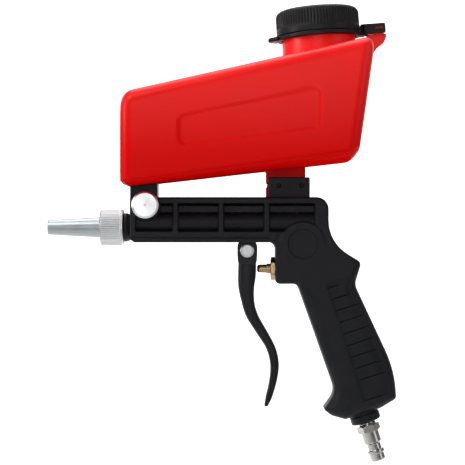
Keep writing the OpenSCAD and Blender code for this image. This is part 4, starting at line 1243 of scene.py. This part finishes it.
def spring_piece():
    """Coil spring behind the poppet: a round wire carried along a helix whose pitch
    closes towards its ends. It shortens towards its plug as the valve opens."""
    low, high = box_mm("valve_spring")
    wire, turns, travel = 0.45, 6.0, 4.08
    length = high[0] - low[0]
    mean = high[2] - VALVE_Z - wire
    t = np.linspace(0, 1, 240)[:, None]
    around = np.linspace(0, 2 * math.pi, 13)[None, :-1]
    closing = max(0.0, 1 - 1.1 * turns / (length - 2 * wire)) / (2 * math.pi)
    along = t - min(0.08, closing) * np.sin(2 * math.pi * t)
    x = low[0] + wire + (length - 2 * wire) * along + wire * np.sin(around)
    out = mean + wire * np.cos(around)
    turn = 2 * math.pi * turns * t
    rings = np.stack([x, out * np.cos(turn), VALVE_Z + out * np.sin(turn)], -1)
    spring = tube_object("spring_coil", rings, 40.0)
    settle(spring, "gun_frame", "plated_steel", "valve_spring", "pin_steel")
    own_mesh(spring)


def inlet_pieces():
    """Black collar with a rolled groove, and the quick-connect plug with its thread,
    hexagon, rings and bored tip."""
    axis = (DOWN[0], 0, DOWN[1])
    origin = (HANDLE[0], 0, HANDLE[1])
    g = GRIP_LEN
    collar = turned_ring("collar_turned", [
        (g - 8, 5.0, 0), (g - 8, 8.0, 0.3), (g, 8.0, 0), (g, 9.4, 0.2), (g + 3.0, 9.4, 0.3),
        (g + 3.3, 10.5, 0.6), (g + 8.6, 10.5, 1.0), (g + 8.6, 6.2, 0.3), (g + 1.6, 6.2, 0),
        (g + 1.6, 5.0, 0)],
        origin, axis, 96, n=6)
    settle(collar, "gun_frame", "black_fitting", "inlet_collar")
    p = g + 8.6
    hexed = hexagon(7.0)
    pitch = 1.34

    def plug_shape(theta, h, r):
        on_hex = (h > p + 2.45) & (h < p + 7.35)
        shaped = np.where(on_hex, hexed(theta, r), r)
        phase = ((h - p) / pitch - theta / (2 * math.pi)) % 1.0
        groove = np.abs(phase - 0.5) * 2
        return shaped - 0.7 * (1 - groove) * (h < p + 2.3) * (h > p - 6) * (r > 6.0)

    corners = [
        (p - 6.8, 3.6, 0.2), (p - 6.8, 6.2, 0.4), (p + 2.3, 6.2, 0), (p + 2.45, 5.6, 0),
        (p + 2.5, 7.2, 0.1),
        (p + 3.1, 8.05, 0.2), (p + 6.8, 8.05, 0.2), (p + 7.3, 7.2, 0.1), (p + 7.4, 6.1, 0.2),
        (p + 15.0, 6.1, 0.5), (p + 16.4, 4.75, 0.6), (p + 20.4, 4.75, 0.5), (p + 20.7, 6.05, 0.4),
        (p + 22.9, 6.05, 0.5), (p + 23.3, 5.15, 0.3), (p + 27.6, 5.15, 0.5), (p + 28.4, 4.6, 0.3),
        (p + 28.4, 3.6, 0.3)]
    profile = divided(rounded(corners, 4), 0.32)
    plug = turned("plug_turned", profile, origin, axis, 120, True, plug_shape, 30.0)
    settle(plug, "gun_frame", "plated_steel", "air_plug")


# ----------------------------------------------------- fasteners, inner parts


def dress_cad_nodes():
    """Inner parts and fasteners keep their CAD shape and get their finish."""
    looks = {
        "screw_steel": ("body_screws", "hopper_screws"),
        "black_rubber": ("outlet_seal", "feed_valve_seals", "nozzle_washer", "stem_seal", "poppet_seal"),
        "seal_liner": ("cap_seal",),
        "pin_steel": ("feed_valve", "feed_valve_clip", "trigger_pin_clip"),
        "brass": ("air_jet", "valve_body", "valve_plug"),
        "tube_metal": ("air_pipe", "inlet_pipe"),
    }
    for look, nodes in looks.items():
        for node in nodes:
            dress(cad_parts[node], look)


# -------------------------------------------------------------------- stage


def area_lamp(name, place, aim, size, power):
    """Soft rectangular lamp at a place, aimed at a point."""
    lamp = bpy.data.lights.new(name, "AREA")
    lamp.shape = "RECTANGLE"
    lamp.size, lamp.size_y = size
    lamp.energy = power
    holder = bpy.data.objects.new(name, lamp)
    bpy.context.scene.collection.objects.link(holder)
    holder.location = place
    way = np.asarray(aim, float) - np.asarray(place, float)
    holder.rotation_euler = Vector(way).to_track_quat("-Z", "Y").to_euler()


def sweep():
    """Pale floor that curves up into a backdrop: a straight run, a quarter circle
    and an upright run, carried across its width."""
    low = CAD_BOX[0][2] - 0.35
    radius, reach, side = 0.8, 2.2, 9.0
    a = np.linspace(0, math.pi / 2, 24)
    y = np.concatenate([[-reach * 4.0], reach - radius + radius * np.sin(a), [reach]])
    z = np.concatenate([[low], low + radius * (1 - np.cos(a)), [low + 7.0]])
    x = np.linspace(-side, side, 9)
    points = np.stack(np.broadcast_arrays(x[:, None], y[None], z[None]), -1).reshape(-1, 3)
    mesh = bpy.data.meshes.new("stage_sweep")
    mesh.from_pydata(points.tolist(), [], grid_faces(len(x), len(y)).tolist())
    mesh.polygons.foreach_set("use_smooth", np.ones(len(mesh.polygons), bool))
    mesh.update()
    floor = bpy.data.objects.new("stage_sweep", mesh)
    bpy.context.scene.collection.objects.link(floor)
    dress(floor, "stage_paper")


def stage():
    """Sweep, lamps, pale surroundings and the camera square to the gun's side."""
    scene = bpy.context.scene
    sizes = scene.blast_gun_sizes
    sweep()
    centre = np.array([HOPPER_X + 75.95, 0, BOTTOM + 6.9]) * MM
    area_lamp("key_lamp", centre + [-0.45, -0.42, 0.62], centre + [0, 0, 0.08], (0.5, 0.4), 3.6)
    area_lamp("edge_lamp", centre + [-1.2, -0.35, 0.22], centre + [0, 0, 0.06], (0.25, 0.6), 5.0)
    area_lamp("fill_lamp", centre + [1.5, -0.9, 0.3], centre, (0.8, 1.4), 3.5)
    area_lamp("front_lamp", centre + [-0.1, -1.7, 0.14], centre, (0.6, 0.6), 3.6)
    area_lamp("top_lamp", centre + [0.1, 0.3, 1.4], centre, (1.4, 0.9), 16)
    area_lamp("back_lamp", centre + [0, 0.75, 1.0], centre + [0, 2.2, 0.0], (2.4, 0.8), 45)
    world = bpy.data.worlds.new("studio")
    world.use_nodes = True
    background = world.node_tree.nodes["Background"]
    background.inputs["Color"].default_value = (1.0, 1.0, 1.0, 1)
    background.inputs["Strength"].default_value = 0.22
    scene.world = world
    lens = bpy.data.cameras.new("camera")
    lens.sensor_width = 36.0
    lens.lens = sizes.camera_lens
    lens.clip_start, lens.clip_end = 0.05, 20
    camera = bpy.data.objects.new("camera", lens)
    scene.collection.objects.link(camera)
    camera.location = centre + [0, -sizes.camera_distance, 0]
    camera.rotation_euler = (math.pi / 2, 0, 0)
    scene.camera = camera
    scene.view_settings.view_transform = "Standard"


# ------------------------------------------------------------------- add-on


def count_of(name, text, value, low, high):
    """Whole-number setting."""
    return bpy.props.IntProperty(name=name, description=text, default=value, min=low, max=high)


def length_of(name, text, value):
    """Length setting, in metres."""
    return bpy.props.FloatProperty(name=name, description=text, default=value, unit="LENGTH")


def colour_of(name, text, *value):
    """Colour setting, from its red, green and blue."""
    return bpy.props.FloatVectorProperty(
        name=name, description=text, subtype="COLOR", size=4, default=(*value, 1))


class BlastGunSizes(bpy.types.PropertyGroup):
    """Sizes of the gun's finished surfaces that a user would change."""

    cap_ribs: count_of("Cap ribs", "Grip ribs round the cap", 84, 24, 140)
    cap_rib_depth: length_of("Cap rib depth", "Depth between the cap's ribs", 0.0006)
    nut_grooves: count_of("Nut grooves", "Grooves of the straight knurl", 52, 24, 90)
    nut_groove_depth: length_of("Nut groove depth", "Depth of the knurl", 0.0006)
    camera_lens: bpy.props.FloatProperty(
        name="Lens", description="Focal length of the camera, in millimetres", default=110.6)
    camera_distance: length_of("Camera distance", "From the camera to the gun's middle plane", 1.0)


class BlastGunLooks(bpy.types.PropertyGroup):
    """Colours of the gun's finishes that a user would change."""

    body_colour: colour_of("Body", "Black of the body", 0.0086, 0.0090, 0.0112)
    cap_colour: colour_of("Cap", "Black of the cap", 0.0125, 0.0127, 0.0140)
    trigger_colour: colour_of("Trigger", "Black of the trigger", 0.0105, 0.0105, 0.0130)
    hopper_colour: colour_of("Hopper", "Red of the hopper", 0.90, 0.0055, 0.0040)
    stage_colour: colour_of("Stage", "Paper of the sweep", 0.92, 0.92, 0.92)


def operator(name, label, text, build):
    """Operator that runs one build function and reports when it is done."""

    def execute(self, context):
        build()
        return {"FINISHED"}

    return type(
        "BLASTGUN_OT_" + name,
        (bpy.types.Operator,),
        {"__doc__": text, "bl_idname": "blastgun." + name, "bl_label": label, "execute": execute},
    )


STEPS = [
    operator("body", "Body shells", "Both shells with post, clamp cheeks and lug", body_pieces),
    operator("clamp", "Clamp holes", "Mouths of the clamp screw holes", clamp_holes),
    operator("hopper", "Hopper", "Tank, neck, tongue and lug", hopper_pieces),
    operator("cap", "Cap", "Ribbed screw cap", cap_pieces),
    operator("tether", "Cap leash", "Ring, tab and band", tether_pieces),
    operator("nozzle", "Nozzle and nut", "Nozzle, knurled nut and neck", nozzle_pieces),
    operator("knob", "Media knob", "Turned knob of the media valve", knob_piece),
    operator("trigger", "Trigger", "Lever and cheeks", trigger_pieces),
    operator("pin", "Trigger pin", "Pin with its head", pin_piece),
    operator("valve", "Valve front", "Gland and stem", valve_front_pieces),
    operator("spring", "Valve spring", "Coil spring behind the poppet", spring_piece),
    operator("inlet", "Air inlet", "Collar and quick-connect plug", inlet_pieces),
    operator("inner", "Inner parts", "Finishes of the parts that keep their CAD shape", dress_cad_nodes),
    operator("stage", "Stage", "Sweep, lamps and camera", stage),
]


class BLASTGUN_PT_panel(bpy.types.Panel):
    """Lists the gun's build steps."""

    bl_label = "Blast gun"
    bl_idname = "BLASTGUN_PT_panel"
    bl_space_type = "VIEW_3D"
    bl_region_type = "UI"
    bl_category = "Blast gun"

    def draw(self, context):
        for step in STEPS:
            self.layout.operator(step.bl_idname)


CLASSES = [BlastGunSizes, BlastGunLooks, *STEPS, BLASTGUN_PT_panel]


def register():
    """Adds the classes and the scene's settings."""
    for cls in CLASSES:
        bpy.utils.register_class(cls)
    bpy.types.Scene.blast_gun_sizes = bpy.props.PointerProperty(type=BlastGunSizes)
    bpy.types.Scene.blast_gun_looks = bpy.props.PointerProperty(type=BlastGunLooks)


def unregister():
    """Takes them away again."""
    del bpy.types.Scene.blast_gun_looks
    del bpy.types.Scene.blast_gun_sizes
    for cls in reversed(CLASSES):
        bpy.utils.unregister_class(cls)


def main():
    """Registers the add-on, builds every piece and writes both boxes."""
    register()
    for step in STEPS:
        getattr(bpy.ops.blastgun, step.bl_idname.split(".")[1])()
    bpy.context.view_layer.update()


if __name__ == "__main__":
    main()
